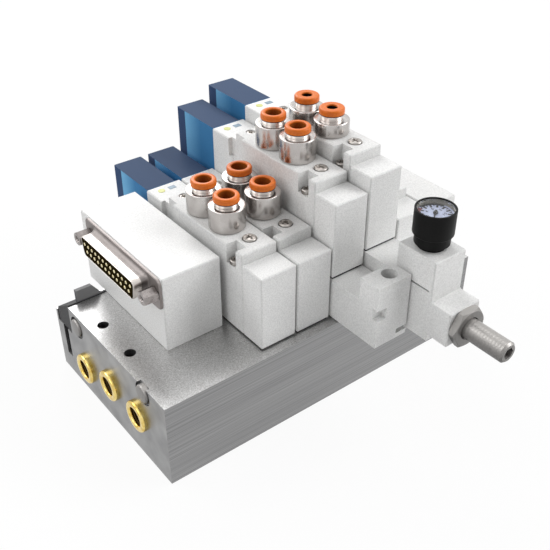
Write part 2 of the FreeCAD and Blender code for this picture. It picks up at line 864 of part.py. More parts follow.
def adjuster_housing():
    """Block in front of the regulator that the adjusting screw passes through."""
    left = station_left(regulator_station_index)
    back = row_setback - regulator_reach
    block = box(left, left + valve_width, back - adjuster_length, back, adjuster_bottom, adjuster_top)
    block = eased(block, lambda middle: middle.y > back - edge_break)
    return block.cut(rod(left + valve_middle, back - adjuster_length, screw_axis_height,
                         adjusting_radius + running_clearance, adjuster_length, (0, 1, 0)))


def seat_front():
    """Place of the spring seat's front face, where the adjusting screw ends."""
    return row_setback - regulator_reach + seat_travel + end_gap * 2


def adjusting_screw():
    """Round screw with a chamfered end and a hexagonal socket."""
    x = station_left(regulator_station_index) + valve_middle
    front = seat_front() - adjusting_length
    bar = rod(x, front, screw_axis_height, adjusting_radius, adjusting_length, (0, 1, 0))
    ends = [edge for edge in bar.Edges if edge.isClosed() and edge.Length > 1]
    bar = bar.makeChamfer(adjusting_chamfer, ends)
    socket = hexagon(x, front, screw_axis_height, adjusting_hex_width, adjusting_hex_depth, (0, 1, 0))
    return bar.cut(socket)


def spring_seat():
    """Disc behind the adjusting screw that loads the regulating spring."""
    x = station_left(regulator_station_index) + valve_middle
    return rod(x, seat_front(), screw_axis_height, seat_radius, seat_thickness, (0, 1, 0))


def lock_nut():
    """Hexagonal nut that locks the adjusting screw, with chamfered corners."""
    x = station_left(regulator_station_index) + valve_middle
    back = row_setback - regulator_reach - adjuster_length
    front = back - nut_thickness
    corner_radius = nut_width / math.sqrt(3)
    depth = corner_radius - nut_width / 2
    blank = turned([(0, 0), (corner_radius - depth, 0), (corner_radius, depth / 2),
                    (corner_radius, nut_thickness - depth / 2), (corner_radius - depth, nut_thickness),
                    (0, nut_thickness)], 0, 0, 0)
    blank.rotate(FreeCAD.Vector(), FreeCAD.Vector(1, 0, 0), -90)
    blank.translate(FreeCAD.Vector(x, front, screw_axis_height))
    nut = hexagon(x, front, screw_axis_height, nut_width, nut_thickness, (0, 1, 0)).common(blank)
    return nut.cut(rod(x, front, screw_axis_height, adjusting_radius + running_clearance, nut_thickness,
                       (0, 1, 0)))


def gauge_heights():
    """Heights of the gauge's foot, case step, rim and dial face."""
    foot = gasket_top + regulator_height + gasket_thickness + gauge_block_height
    step = foot + gauge_neck + gauge_base_height
    rim = step + gauge_case_height
    return foot, step, rim, rim - dial_depth


def gauge_case():
    """Black cup with a threaded shank, a narrower base and a ledge for the dial."""
    x, y = gauge_place()
    foot, step, rim, dial_face = gauge_heights()
    inner = gauge_case_radius - gauge_rim
    neck = gauge_base_radius - gauge_neck_inset
    ledge = dial_face - dial_thickness
    profile = [
        (0, foot - gauge_shank_length), (gauge_shank_radius, foot - gauge_shank_length),
        (gauge_shank_radius, foot), (neck, foot), (neck, foot + gauge_neck),
        (gauge_base_radius, foot + gauge_neck), (gauge_base_radius, step), (gauge_case_radius, step),
        (gauge_case_radius, rim), (inner, rim), (inner, ledge), (inner - gauge_rim, ledge),
        (inner - gauge_rim, step), (0, step),
    ]
    return turned(profile, x, y, 0)


def gauge_dial():
    """Dial plate with a hole for the pointer's pin."""
    x, y = gauge_place()
    dial_face = gauge_heights()[3]
    plate = rod(x, y, dial_face - dial_thickness, gauge_case_radius - gauge_rim - running_clearance,
                dial_thickness)
    return plate.cut(rod(x, y, dial_face - dial_thickness, pointer_pin_radius + running_clearance,
                         dial_thickness))


def gauge_lens():
    """Clear lens just below the rim."""
    x, y = gauge_place()
    rim = gauge_heights()[2]
    return rod(x, y, rim - lens_depth - lens_thickness, gauge_case_radius - gauge_rim - running_clearance,
               lens_thickness)


def gauge_pointer():
    """Pointer with a hub and a pin through the dial, at the low end of the scale."""
    x, y = gauge_place()
    dial_face = gauge_heights()[3]
    bottom = dial_face + pointer_lift
    half = pointer_width / 2
    corners = [(-pointer_tail, -half), (pointer_length, -half / 3), (pointer_length, half / 3),
               (-pointer_tail, half)]
    points = [FreeCAD.Vector(px, py, 0) for px, py in corners]
    blade = Part.Face(Part.makePolygon(points + points[:1])).extrude(FreeCAD.Vector(0, 0, pointer_thickness))
    blade = blade.fuse(rod(0, 0, 0, pointer_hub_radius, pointer_thickness))
    blade = blade.fuse(rod(0, 0, -pointer_pin_length, pointer_pin_radius, pointer_pin_length))
    blade.rotate(FreeCAD.Vector(), FreeCAD.Vector(0, 0, 1), pointer_angle)
    blade.translate(FreeCAD.Vector(x, y, bottom))
    return blade.removeSplitter()


def blanking_block():
    """Plain block that closes the last station."""
    left = station_left(blank_station_index)
    top = gasket_top + blank_height
    return eased(box(left, left + valve_width, row_setback, cover_start, gasket_top, top))


valves = valve_stations()
save("manifold_base", manifold_base())
save("port_inserts", *port_inserts())
save("end_screws", *end_screws())
save("rear_duct_cover", rear_duct_cover())
save("connector_housing", connector_housing())
save("connector_board", connector_board())
save("dsub_shell", dsub_shell())
save("dsub_insulator", dsub_insulator())
save("dsub_contacts", *dsub_contacts())
save("dsub_jackscrews", *dsub_jackscrews())
for valve in valves:
    save("valve_body_%d" % valve, valve_body(valve))
    save("spool_%d" % valve, spool(valve))
    for port in ("a", "b"):
        save("release_ring_%d%s" % (valve, port), release_ring(valve, port))
        save("override_%d%s" % (valve, port), override_button(valve, port))
save("end_covers", *[end_cover(valve) for valve in valves])
save("pilot_adapters", *[pilot_adapter(valve) for valve in valves])
save("pilot_covers", *[pilot_cover(valve) for valve in valves])
save("pilot_coils", *[coil for valve in valves for coil in pilot_coils(valve)])
save("fitting_sleeves", *[fitting_sleeve(valve, port) for valve in valves for port in ("a", "b")])
save("valve_screws", *[item for valve in valves for item in station_screws(valve)])
gaskets = [gasket(station, base_height) for station in range(1, station_count + 1)]
gaskets += [gasket(lifted, station_foot(lifted) - gasket_thickness)
            for lifted in (spacer_station_index, regulator_station_index)]
save("station_gaskets", *gaskets, gauge_gasket())
save("supply_spacer", supply_spacer())
save("regulator_body", regulator_body())
save("gauge_block", gauge_block())
save("adjuster_housing", adjuster_housing())
save("spring_seat", spring_seat())
save("adjusting_screw", adjusting_screw())
save("lock_nut", lock_nut())
save("gauge_case", gauge_case())
save("gauge_dial", gauge_dial())
save("gauge_lens", gauge_lens())
save("gauge_pointer", gauge_pointer())
save("blanking_block", blanking_block())
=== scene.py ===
import math

import bmesh
import bpy
import numpy as np
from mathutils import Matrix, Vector


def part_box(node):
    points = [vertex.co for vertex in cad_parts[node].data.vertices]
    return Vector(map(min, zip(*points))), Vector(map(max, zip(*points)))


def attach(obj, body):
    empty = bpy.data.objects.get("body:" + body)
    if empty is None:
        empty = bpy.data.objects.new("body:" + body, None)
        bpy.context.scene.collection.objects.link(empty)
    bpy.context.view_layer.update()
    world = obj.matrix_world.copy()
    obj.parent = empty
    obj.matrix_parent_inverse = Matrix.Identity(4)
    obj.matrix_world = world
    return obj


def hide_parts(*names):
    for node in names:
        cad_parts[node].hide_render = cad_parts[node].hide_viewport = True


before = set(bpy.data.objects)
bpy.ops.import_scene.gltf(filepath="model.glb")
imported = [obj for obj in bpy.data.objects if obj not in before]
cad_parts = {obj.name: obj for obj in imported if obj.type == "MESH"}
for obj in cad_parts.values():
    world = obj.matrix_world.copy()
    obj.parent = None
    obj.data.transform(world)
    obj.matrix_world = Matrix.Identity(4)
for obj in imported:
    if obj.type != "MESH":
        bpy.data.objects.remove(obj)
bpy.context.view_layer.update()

# Looks of the pneumatic valve island. Shapes are worked out in millimetres in the part's own frame,
# then written to meshes in metres. Each new piece names the CAD node that it stands for.
MM = 0.001
TURN = 2 * math.pi
STATIONS = (1, 2, 3, 4, 5)
SIDES = ("a", "b")
SMALL_TUBE_STATION = 4

# Points round a hexagon or a screw head, slope of a chamfer of 60 degrees, and welding distance in metres
FINE_STEPS = 72
CHAMFER_SLOPE = math.tan(math.radians(60))
WELD_DISTANCE = 2e-7

# Sizes of fittings and screws, in millimetres: the CAD's own, but for the ring's edge and the black band of painted
# shadow under the ring
SLEEVE_RADIUS = 6.8
STEM_RADIUS = 4.95
STEM_LENGTH = 5.0
GUIDE_RADIUS = 4.05
NECK_RADIUS = 4.0
RING_RADIUS = 4.8
RING_HEIGHT = 2.5
SHADOW_BAND_HEIGHT = 0.35
SHADOW_BAND_RADIUS = 4.72
RING_EDGE = 0.6
SOCKET_HEIGHT = 1.5
TUBE_STOP = 0.2
PASSAGE_RADIUS = 1.5
LARGE_TUBE = 3.05
SMALL_TUBE = 2.05
TALL_SLEEVE = 8.9
SHORT_SLEEVE = 5.5
SCREW_SHANK = 1.25
SCREW_HEAD_HEIGHT = 1.8


def millimetres(point):
    """A point of the frame, in metres, as an array in millimetres."""
    return np.array(point) / MM


def node_box(name):
    """Lowest and highest corner of a CAD node, in millimetres."""
    low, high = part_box(name)
    return millimetres(low), millimetres(high)


BASE_LOW, BASE_HIGH = node_box("manifold_base")


def corner(x, y, z):
    """A point given from the base's left end, front face and foot, in the part's frame."""
    return np.array((x, y, z)) + (BASE_LOW[0], BASE_LOW[1], 0)


# ---------------------------------------------------------------- surfaces


def turn_angles(steps):
    """Angles spaced evenly over a full turn, the last one left out."""
    return np.linspace(0, TURN, steps, endpoint=False)


def patch(grid, wrap_rows=False, material=0):
    """Four-sided faces between neighbouring points of a grid of rows and columns.

    Each row is a closed loop. With wrap_rows the last row is joined to the first as well.
    """
    rows, columns = grid.shape[:2]
    index = np.arange(rows * columns).reshape(rows, columns)
    if wrap_rows:
        index = np.concatenate([index, index[:1]])
    index = np.concatenate([index, index[:, :1]], axis=1)
    quads = np.stack([index[:-1, :-1], index[1:, :-1], index[1:, 1:], index[:-1, 1:]], axis=-1)
    quads = quads.reshape(-1, 4)
    return grid.reshape(-1, 3), quads, np.full(len(quads), material)


def revolved(radius, height, closed=False, steps=64, material=0):
    """Surface about +Z: x = r cos a, y = r sin a, z = h, for rows of (r, h) and angles a of a full turn.

    Radius and height are one value a row, or one a row and angle.
    """
    angle = turn_angles(steps)
    radius, height = (np.asarray(values, float) for values in (radius, height))
    radius = radius[:, None] if radius.ndim == 1 else radius
    height = height[:, None] if height.ndim == 1 else height
    shape = (max(len(radius), len(height)), steps)
    r, h = np.broadcast_to(radius, shape), np.broadcast_to(height, shape)
    grid = np.stack([r * np.cos(angle), r * np.sin(angle), h], axis=-1)
    return patch(grid, wrap_rows=closed, material=material)


def eased(corners, cuts, closed=False, steps=4):
    """Polyline whose corners are rounded: between the two points that lie a cut before and after a corner runs
    the curve (1-s)^2 p + 2 s (1-s) corner + s^2 q."""
    corners, cuts = np.asarray(corners, float), np.broadcast_to(np.asarray(cuts, float), len(corners)).copy()
    before, after = np.roll(corners, 1, axis=0), np.roll(corners, -1, axis=0)
    if not closed:
        cuts[[0, -1]] = 0
        before[0], after[-1] = corners[0], corners[-1]
    to_before, to_after = before - corners, after - corners
    reach_before = np.maximum(np.linalg.norm(to_before, axis=1, keepdims=True), 1e-9)
    reach_after = np.maximum(np.linalg.norm(to_after, axis=1, keepdims=True), 1e-9)
    start = corners + to_before / reach_before * np.minimum(cuts[:, None], reach_before / 2)
    end = corners + to_after / reach_after * np.minimum(cuts[:, None], reach_after / 2)
    s = np.linspace(0, 1, steps + 1)[None, :, None]
    curve = (1 - s) ** 2 * start[:, None] + 2 * s * (1 - s) * corners[:, None] + s ** 2 * end[:, None]
    return curve.reshape(-1, corners.shape[1])


def lathe(corners, cuts=0.0, closed=True, steps=64, material=0, ease_steps=4):
    """Turned piece: an eased profile of (radius, height) corners, revolved. Each corner has its own cut."""
    profile = eased(corners, cuts, closed, ease_steps)
    return revolved(profile[:, 0], profile[:, 1], closed, steps, material)


def hexagon(across):
    """Distance from the middle to a hexagon's side at each angle: half the width over the cosine of the angle
    from the nearest side's middle."""
    return across / 2 / np.cos(np.mod(turn_angles(FINE_STEPS), TURN / 6) - TURN / 12)


def turned(rows, closed=False):
    """Revolved surface from (radius, height) rows, where each is one value or one for every angle."""
    radii = np.array([np.broadcast_to(radius, FINE_STEPS) for radius, _ in rows], float)
    heights = np.array([np.broadcast_to(height, FINE_STEPS) for _, height in rows], float)
    return revolved(radii, heights, closed, FINE_STEPS)


def thread_wave(rows, pitch, steps):
    """Triangle wave between 0 and 1 of height over pitch minus angle over a turn."""
    phase = rows[:, None] / pitch - turn_angles(steps) / TURN
    return 1 - np.abs(2 * np.mod(phase, 1) - 1)


# Turns that carry +Z onto each named axis
AXIS_TURNS = {
    "z": ((1, 0, 0), (0, 1, 0), (0, 0, 1)),
    "x": ((0, 0, 1), (0, 1, 0), (-1, 0, 0)),
    "-x": ((0, 0, -1), (0, 1, 0), (1, 0, 0)),
    "y": ((1, 0, 0), (0, 0, 1), (0, -1, 0)),
}


def placed(part, at, axis="z"):
    """Turns +Z onto the named axis and moves the patch to a point."""
    points, quads, material = part
    return points @ np.array(AXIS_TURNS[axis], float).T + np.asarray(at, float), quads, material


def make_piece(name, parts, materials, body, nodes=(), sharp=35):
    """One object from several patches, welded, facing outwards and riding on its body."""
    starts = np.cumsum([0] + [len(points) for points, _, _ in parts[:-1]])
    points = np.concatenate([points for points, _, _ in parts]) * MM
    quads = np.concatenate([quads + start for (_, quads, _), start in zip(parts, starts)])
    indices = np.concatenate([material for _, _, material in parts]).astype(np.int32)
    mesh = bpy.data.meshes.new(name)
    mesh.from_pydata(points.tolist(), [], quads.tolist())
    for material in materials:
        mesh.materials.append(material)
    mesh.polygons.foreach_set("material_index", indices)
    work = bmesh.new()
    work.from_mesh(mesh)
    bmesh.ops.remove_doubles(work, verts=work.verts, dist=WELD_DISTANCE)
    bmesh.ops.recalc_face_normals(work, faces=work.faces)
    work.to_mesh(mesh)
    work.free()
    mesh.shade_smooth()
    mesh.set_sharp_from_angle(angle=math.radians(sharp))
    piece = bpy.data.objects.new(name, mesh)
    bpy.context.scene.collection.objects.link(piece)
    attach(piece, body)
    if nodes:
        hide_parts(*nodes)
    return piece


# ---------------------------------------------------------------- materials


def linear(hex_colour, alpha=1.0):
    """sRGB hex colour as the linear numbers that the shaders take."""
    channels = [int(hex_colour[i:i + 2], 16) / 255 for i in (1, 3, 5)]
    return (*[c / 12.92 if c <= 0.04045 else ((c + 0.055) / 1.055) ** 2.4 for c in channels], alpha)


def add_node(tree, kind, inputs=None, **settings):
    """Adds a node, sets its properties, and gives each named input a value or a link from an output."""
    node = tree.nodes.new("ShaderNode" + kind)
    for name, value in settings.items():
        setattr(node, name, value)
    for name, value in (inputs or {}).items():
        socket = node.inputs[name]
        if isinstance(value, bpy.types.NodeSocket):
            tree.links.new(value, socket)
        else:
            socket.default_value = value
    return node


def new_material(name, **values):
    """Material with a principled shader and its object coordinates; the values are the shader's own sockets."""
    material = bpy.data.materials.new(name)
    material.use_nodes = True
    tree = material.node_tree
    tree.nodes.clear()
    inputs = {key.replace("_", " "): value for key, value in values.items()}
    shader = add_node(tree, "BsdfPrincipled", inputs)
    add_node(tree, "OutputMaterial", {"Surface": shader.outputs[0]})
    place = add_node(tree, "TexCoord").outputs["Object"]
    return material, tree, shader, place


def scaled(tree, place, scale):
    """Coordinates multiplied along each axis, in cycles a metre."""
    return add_node(tree, "Mapping", {"Vector": place, "Scale": scale}).outputs["Vector"]


def grain(tree, place, size_mm, detail=2.0, rough=0.5):
    """Noise whose grains are about a size across, in millimetres."""
    return add_node(tree, "TexNoise", {"Vector": place, "Scale": 1 / (size_mm * MM), "Detail": detail,
                                       "Roughness": rough}).outputs["Fac"]


def ramp(tree, factor, dark, light, low=0.3, high=0.7):
    """Colour that runs from dark to light as the factor runs between two levels."""
    node = add_node(tree, "ValToRGB", {"Fac": factor})
    stops = node.color_ramp.elements
    stops[0].position, stops[0].color = low, linear(dark)
    stops[1].position, stops[1].color = high, linear(light)
    return node.outputs["Color"]


def shaded(tree, shader, factor, dark, light, low=0.3, high=0.7):
    """Base colour from such a ramp."""
    tree.links.new(ramp(tree, factor, dark, light, low, high), shader.inputs["Base Color"])


def bumped(tree, shader, height, depth_mm, strength=0.5):
    """Relief from a height between 0 and 1 that stands for a real depth."""
    bump = add_node(tree, "Bump", {"Height": height, "Distance": depth_mm * MM, "Strength": strength})
    tree.links.new(bump.outputs["Normal"], shader.inputs["Normal"])


def spread(tree, value, low, high):
    """A 0 to 1 value spread between two numbers."""
    return add_node(tree, "MapRange", {"Value": value, "To Min": low, "To Max": high}).outputs["Result"]


def between(tree, value, low, high):
    """0 below the low level, 1 above the high one."""
    return add_node(tree, "MapRange", {"Value": value, "From Min": low, "From Max": high}).outputs["Result"]


def mixed(tree, factor, first, second, kind="RGBA"):
    """The first value where the factor is 0, the second where it is 1."""
    return add_node(tree, "Mix", {"Factor": factor, "A": first, "B": second}, data_type=kind).outputs["Result"]


def worked_out(tree, operation, *values):
    """Result of one arithmetic operation."""
    return add_node(tree, "Math", dict(enumerate(values)), operation=operation).outputs[0]


def component(tree, vector, axis):
    """One component of a vector."""
    return add_node(tree, "SeparateXYZ", {"Vector": vector}).outputs[axis]


def facing(tree, axis):
    """Component of the surface's normal along a world axis."""
    return component(tree, add_node(tree, "NewGeometry").outputs["Normal"], axis)


def facing_up(tree):
    """1 on faces that look up, 0 on upright ones."""
    return between(tree, facing(tree, "Z"), 0.6, 0.8)


def facing_ends(tree):
    """1 on faces that look along X, 0 on those that look across it."""
    return worked_out(tree, "ABSOLUTE", facing(tree, "X"))


def seen_rays(tree):
    """1 for camera, mirrored and refracted rays, 0 for rays that only light the scene."""
    rays = add_node(tree, "LightPath").outputs
    seen = worked_out(tree, "MAXIMUM", rays["Is Camera Ray"], rays["Is Glossy Ray"])
    return worked_out(tree, "MAXIMUM", seen, rays["Is Transmission Ray"])


def powder_coat(name, dark, light):
    """Powder-coated zinc or aluminium casting: a fine sandy grain that breaks up the light, seen as faint
    speckle."""
    material, tree, shader, place = new_material(name, Roughness=0.55, Specular_IOR_Level=0.3)
    fine = grain(tree, place, 0.55, 3.0, 0.65)
    shaded(tree, shader, fine, dark, light, 0.35, 0.65)
    bumped(tree, shader, fine, 0.05)
    return material


def moulded(name, dark, light, roughness=0.4, size=0.6, depth=0.012, **values):
    """Moulded plastic: an even colour with the faint mottling of the tool's spark-eroded skin."""
    material, tree, shader, place = new_material(name, **values)
    skin = grain(tree, place, size)
    shaded(tree, shader, skin, dark, light)
    tree.links.new(spread(tree, skin, roughness * 0.85, roughness * 1.15), shader.inputs["Roughness"])
    bumped(tree, shader, skin, depth)
    return material


# Cycles a metre of the die's lines along, across and up the extrusion
DIE_LINES = (12, 1300, 3400)


def extruded_aluminium():
    """Anodised aluminium extrusion: the long sides keep the die's fine lines along X, the sawn ends are even and
    the blasted top is sandy, its colour painted lighter than the sides as painted light from above."""
    material, tree, shader, place = new_material("clear_anodised_aluminium_extrusion", Metallic=1.0)
    lines = add_node(tree, "TexNoise", {"Vector": scaled(tree, place, DIE_LINES), "Scale": 1.0, "Detail": 4.0,
                                        "Roughness": 0.65}).outputs["Fac"]
    sand = grain(tree, place, 0.5, 3.0, 0.7)
    clouds = grain(tree, place, 9.0)
    top = facing_up(tree)
    upright = mixed(tree, facing_ends(tree), lines, clouds, "FLOAT")
    pattern = mixed(tree, top, upright, sand, "FLOAT")
    # Painted light: the top takes a lighter copy of the metal's colour than the upright faces
    side_colour = ramp(tree, pattern, "#7b7b7c", "#a0a0a0")
    top_colour = ramp(tree, pattern, "#a09f9e", "#dedede")
    tree.links.new(mixed(tree, top, side_colour, top_colour), shader.inputs["Base Color"])
    tree.links.new(spread(tree, pattern, 0.30, 0.46), shader.inputs["Roughness"])
    bumped(tree, shader, pattern, 0.03)
    return material


def polished_metal(name, dark, light, roughness, size=6.0):
    """Plated or polished metal: reflections as sharp as its roughness lets them be, with slow, cloudy changes of
    gloss."""
    material, tree, shader, place = new_material(name, Metallic=1.0)
    clouds = grain(tree, place, size)
    shaded(tree, shader, clouds, dark, light)
    tree.links.new(spread(tree, clouds, roughness * 0.7, roughness * 1.3), shader.inputs["Roughness"])
    bumped(tree, shader, grain(tree, place, 0.4), 0.002, 0.4)
    return material


def dull_zinc_plate():
    """Dull zinc plate on the adjuster and the end screws: satin grey, its colour painted bright on faces that
    look up and painted dark on the underside as painted shade."""
    material, tree, shader, place = new_material("dull_zinc_plated_steel", Metallic=0.5)
    clouds = grain(tree, place, 2.0)
    # Painted shade: the colour follows the normal's Z, dark underneath and light on top, with a little cloud
    painted_shade_level = worked_out(tree, "MULTIPLY_ADD", clouds, 0.3, facing(tree, "Z"))
    shaded(tree, shader, between(tree, painted_shade_level, -0.55, 1.0), "#3a3938", "#a8a5a2", 0.0, 1.0)
    tree.links.new(spread(tree, clouds, 0.30, 0.42), shader.inputs["Roughness"])
    return material


# Length in metres of one wave of the wave texture at a scale of 1, and distance in mm between tool rings
WAVE_LENGTH = 0.31
TOOL_FEED = 0.15


def turned_brass():
    """Turned brass: warm yellow with fine rings from the tool."""
    material, tree, shader, place = new_material("turned_brass", Metallic=1.0)
    clouds = grain(tree, place, 2.0)
    shaded(tree, shader, clouds, "#cfae54", "#efd98e")
    rings = add_node(tree, "TexWave", {"Vector": place, "Scale": WAVE_LENGTH / (TOOL_FEED * MM),
                                       "Distortion": 0.5}, bands_direction="X").outputs["Fac"]
    tree.links.new(spread(tree, clouds, 0.14, 0.24), shader.inputs["Roughness"])
    bumped(tree, shader, rings, 0.004)
    return material


# Distances in mm from the pilot covers' back: width of the darker rear band, and the span over which the flanks'
# painted shadow turns to painted light
REAR_DARK_BAND = 5.8
FLANK_PAINTED_SHADOW = 17
FLANK_PAINTED_LIGHT = 7


def pilot_blue():
    """Blue ABS with a fine spark-eroded grain: the flanks are painted light near the back and darker towards the
    front as painted shadow, the back 5.8 mm of the flanks is a darker blue, and the top takes a slate copy of
    the blue as painted shade.
    """
    material, tree, shader, place = new_material("blue_abs", Roughness=0.6, Specular_IOR_Level=0.06)
    skin = grain(tree, place, 0.5, 3.0, 0.6)
    along = component(tree, place, "Y")
    back = node_box("pilot_covers")[1][1] * MM
    strip = worked_out(tree, "GREATER_THAN", along, back - REAR_DARK_BAND * MM)
    # Painted light and shadow on the flanks: darker blue towards the front, light blue near the back
    flank_painted_light = between(tree, along, back - FLANK_PAINTED_SHADOW * MM, back - FLANK_PAINTED_LIGHT * MM)
    colour = ramp(tree, flank_painted_light, "#417fb0", "#74b3dc", 0.0, 1.0)
    colour = mixed(tree, strip, colour, linear("#34486b"))
    # Painted shade: faces that look up take a shaded slate copy of the blue
    colour = mixed(tree, facing_up(tree), colour, linear("#46556f"))
    colour = mixed(tree, spread(tree, skin, 0.0, 0.22), colour, linear("#27476e"))
    tree.links.new(colour, shader.inputs["Base Color"])
    bumped(tree, shader, skin, 0.03)
    return material


# Height in mm above the base's top over which the duct cover's colour turns from the channel's painted shade to that
# of its raised tab
TAB_STEP = 0.8


def duct_polyamide():
    """Grey-black polyamide with a spark-eroded skin: painted near black down in the channel as painted shade, mid
    grey on the raised tab's face, and painted darker on its end faces as painted shade."""
    material, tree, shader, place = new_material("grey_black_polyamide", Roughness=0.6, Specular_IOR_Level=0.08)
    skin = grain(tree, place, 0.5)
    raised = between(tree, component(tree, place, "Z"), BASE_HIGH[2] * MM, (BASE_HIGH[2] + TAB_STEP) * MM)
    # Painted shade: the tab's end faces take a darker copy of its grey
    tab_lit_and_shaded = mixed(tree, facing_ends(tree), linear("#949495"), linear("#58585c"))
    # Painted shade: below the tab the cover is painted near black in the channel
    colour = mixed(tree, raised, ramp(tree, skin, "#444445", "#525253"), tab_lit_and_shaded)
    tree.links.new(colour, shader.inputs["Base Color"])
    bumped(tree, shader, skin, 0.03)
    return material


def clear_lens():
    """Clear acrylic, thinly coated against reflections: nearly invisible, with a weak reflection."""
    material, tree, shader, place = new_material("clear_acrylic", Transmission_Weight=1.0, IOR=1.2,
                                                 Base_Color=linear("#fafaf8"))
    tree.links.new(spread(tree, grain(tree, place, 5.0), 0.0, 0.04), shader.inputs["Roughness"])
    return material


# Housings and base: paper white castings and mouldings; the rest as its function says
white_casting = powder_coat("powder_coated_casting", "#dbdbda", "#f0f0ef")
white_plastic = moulded("white_moulded_polyester", "#dcdcdb", "#f3f3f2", 0.5, size=0.5, depth=0.045)
aluminium = extruded_aluminium()
blue = pilot_blue()
duct_grey = duct_polyamide()

# Brass ports: bright yellow outside; down the thread the brass is painted dark brown as painted shade
brass = turned_brass()
shaded_thread_brass = moulded("brass_thread_painted_shade", "#4a3610", "#5e471a", 0.5, depth=0.01, Specular_IOR_Level=0.2)

# Fittings: softly shining sleeves, brighter collets, and the rings' orange; the rings' bore is painted brown and a
# black band under each ring is painted, both as painted shade
nickel = polished_metal("nickel_plated_brass", "#b2adaa", "#c6c2bf", 0.24)
collet_nickel = polished_metal("bright_nickel_collet", "#d8d2ce", "#ece6e2", 0.3)
orange = moulded("orange_acetal", "#da6c1d", "#e5792b", 0.35, size=0.8, depth=0.006, Specular_IOR_Level=0.25)
painted_shade_bore = moulded("ring_bore_painted_shade", "#96521f", "#a65e28", 0.6, Specular_IOR_Level=0.05)
painted_shade_black = moulded("black_painted_shade", "#1a1310", "#241b16", 0.6, Specular_IOR_Level=0.05)

# Steel: grey and fairly bright on the screws, darker on the jackscrews, satin on the adjuster and end screws with
# painted shade underneath
zinc = polished_metal("bright_zinc_plated_steel", "#918d89", "#b1aca7", 0.32, size=1.5)
post_steel = polished_metal("dark_zinc_plated_steel", "#86807e", "#9c9694", 0.28, size=2.0)
dull_zinc = dull_zinc_plate()

# Connector: warm bright collar, flange and collar foot in a darker tin as painted shade, near-black insulator, pale
# gold contacts
tin = polished_metal("tinned_steel", "#bfb8b3", "#d8d2cc", 0.3, size=8.0)
tin_painted_shade = polished_metal("tinned_steel_painted_shade", "#7d7775", "#8f8987", 0.5, size=8.0)
gold = polished_metal("gold_flashed_contacts", "#d6c89a", "#eee4c2", 0.3, size=1.0)
insulator_black = moulded("black_glass_filled_polyester", "#1c170a", "#2a230f", 0.6, Specular_IOR_Level=0.0)

# Gauge: satin black case with a grey inner wall, lilac dial with black and red print, clear lens
case_black = moulded("satin_black_painted_case", "#090909", "#101010", 0.45, size=0.4, depth=0.01,
                     Specular_IOR_Level=0.12)
case_inside = moulded("grey_brown_inner_wall", "#7f7d76", "#8d8b84", 0.5, Specular_IOR_Level=0.2)
dial_lilac = moulded("printed_dial", "#a9b1cb", "#b5bcd6", 0.6, size=1.0, depth=0.002, Specular_IOR_Level=0.2)
mark_black = moulded("black_dial_print", "#101018", "#1a1a26", 0.5)
mark_red = moulded("red_dial_print", "#64242a", "#743034", 0.5)
pointer_black = moulded("black_painted_pointer", "#0c0c0e", "#17171c")
lens = clear_lens()

# Override buttons: small dots of yellow-green and of dull blue
green = moulded("yellow_green_acetal", "#c2c568", "#cfd27c")
button_blue = moulded("blue_acetal", "#6b8496", "#7d96a8")

# Inside: matt black rubber, green board, brown windings and bright ground spools
rubber = moulded("nitrile_rubber", "#202020", "#2c2c2c", 0.7, size=0.3, depth=0.01)
board = moulded("solder_mask_board", "#12402a", "#18503a")
varnish = moulded("varnished_winding", "#2a1a10", "#3c2818", 0.35, size=0.3, depth=0.03)
spool_metal = polished_metal("ground_aluminium", "#b8b8b8", "#d6d6d6", 0.22)

node_materials = {
    "manifold_base": aluminium, "rear_duct_cover": duct_grey, "connector_housing": white_plastic,
    "connector_board": board, "dsub_insulator": insulator_black, "end_covers": white_plastic,
    "pilot_adapters": white_plastic, "pilot_covers": blue, "pilot_coils": varnish, "station_gaskets": rubber,
    "supply_spacer": white_casting, "regulator_body": white_casting, "gauge_block": white_casting,
    "adjuster_housing": white_casting, "blanking_block": white_casting, "spring_seat": zinc,
}
for station in STATIONS:
    node_materials["valve_body_%d" % station] = white_casting
    node_materials["spool_%d" % station] = spool_metal
    node_materials["override_%da" % station] = green
    node_materials["override_%db" % station] = button_blue
for name, material in node_materials.items():
    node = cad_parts[name]
    node.data.materials.clear()
    node.data.materials.append(material)

# ---------------------------------------------------------------- push-in fittings


def fitting_axis(station, side):
    """Middle of a fitting, and the height of the deck under it."""
    low, high = node_box("release_ring_%d%s" % (station, side))
    deck = node_box("valve_body_%d" % station)[1][2]
    return (low[0] + high[0]) / 2, (low[1] + high[1]) / 2, deck


def tube_radius(station):
    """Radius of the tube that a station's fittings take."""
    return SMALL_TUBE if station == SMALL_TUBE_STATION else LARGE_TUBE


def sleeve(station):
    """Nickel-plated sleeve: stem, rounded foot, cylinder, chamfered mouth and the tube's socket."""
    top = SHORT_SLEEVE if station == SMALL_TUBE_STATION else TALL_SLEEVE
    tube = tube_radius(station)
    corners = [(PASSAGE_RADIUS, -STEM_LENGTH), (STEM_RADIUS, -STEM_LENGTH), (STEM_RADIUS, 0), (SLEEVE_RADIUS, 0),
               (SLEEVE_RADIUS, top), (GUIDE_RADIUS, top), (GUIDE_RADIUS, SOCKET_HEIGHT), (tube, SOCKET_HEIGHT),
               (tube, TUBE_STOP), (PASSAGE_RADIUS, TUBE_STOP)]
    return lathe(corners, [0, 0.3, 0, 0.7, 0.45, 0.12, 0, 0, 0, 0])


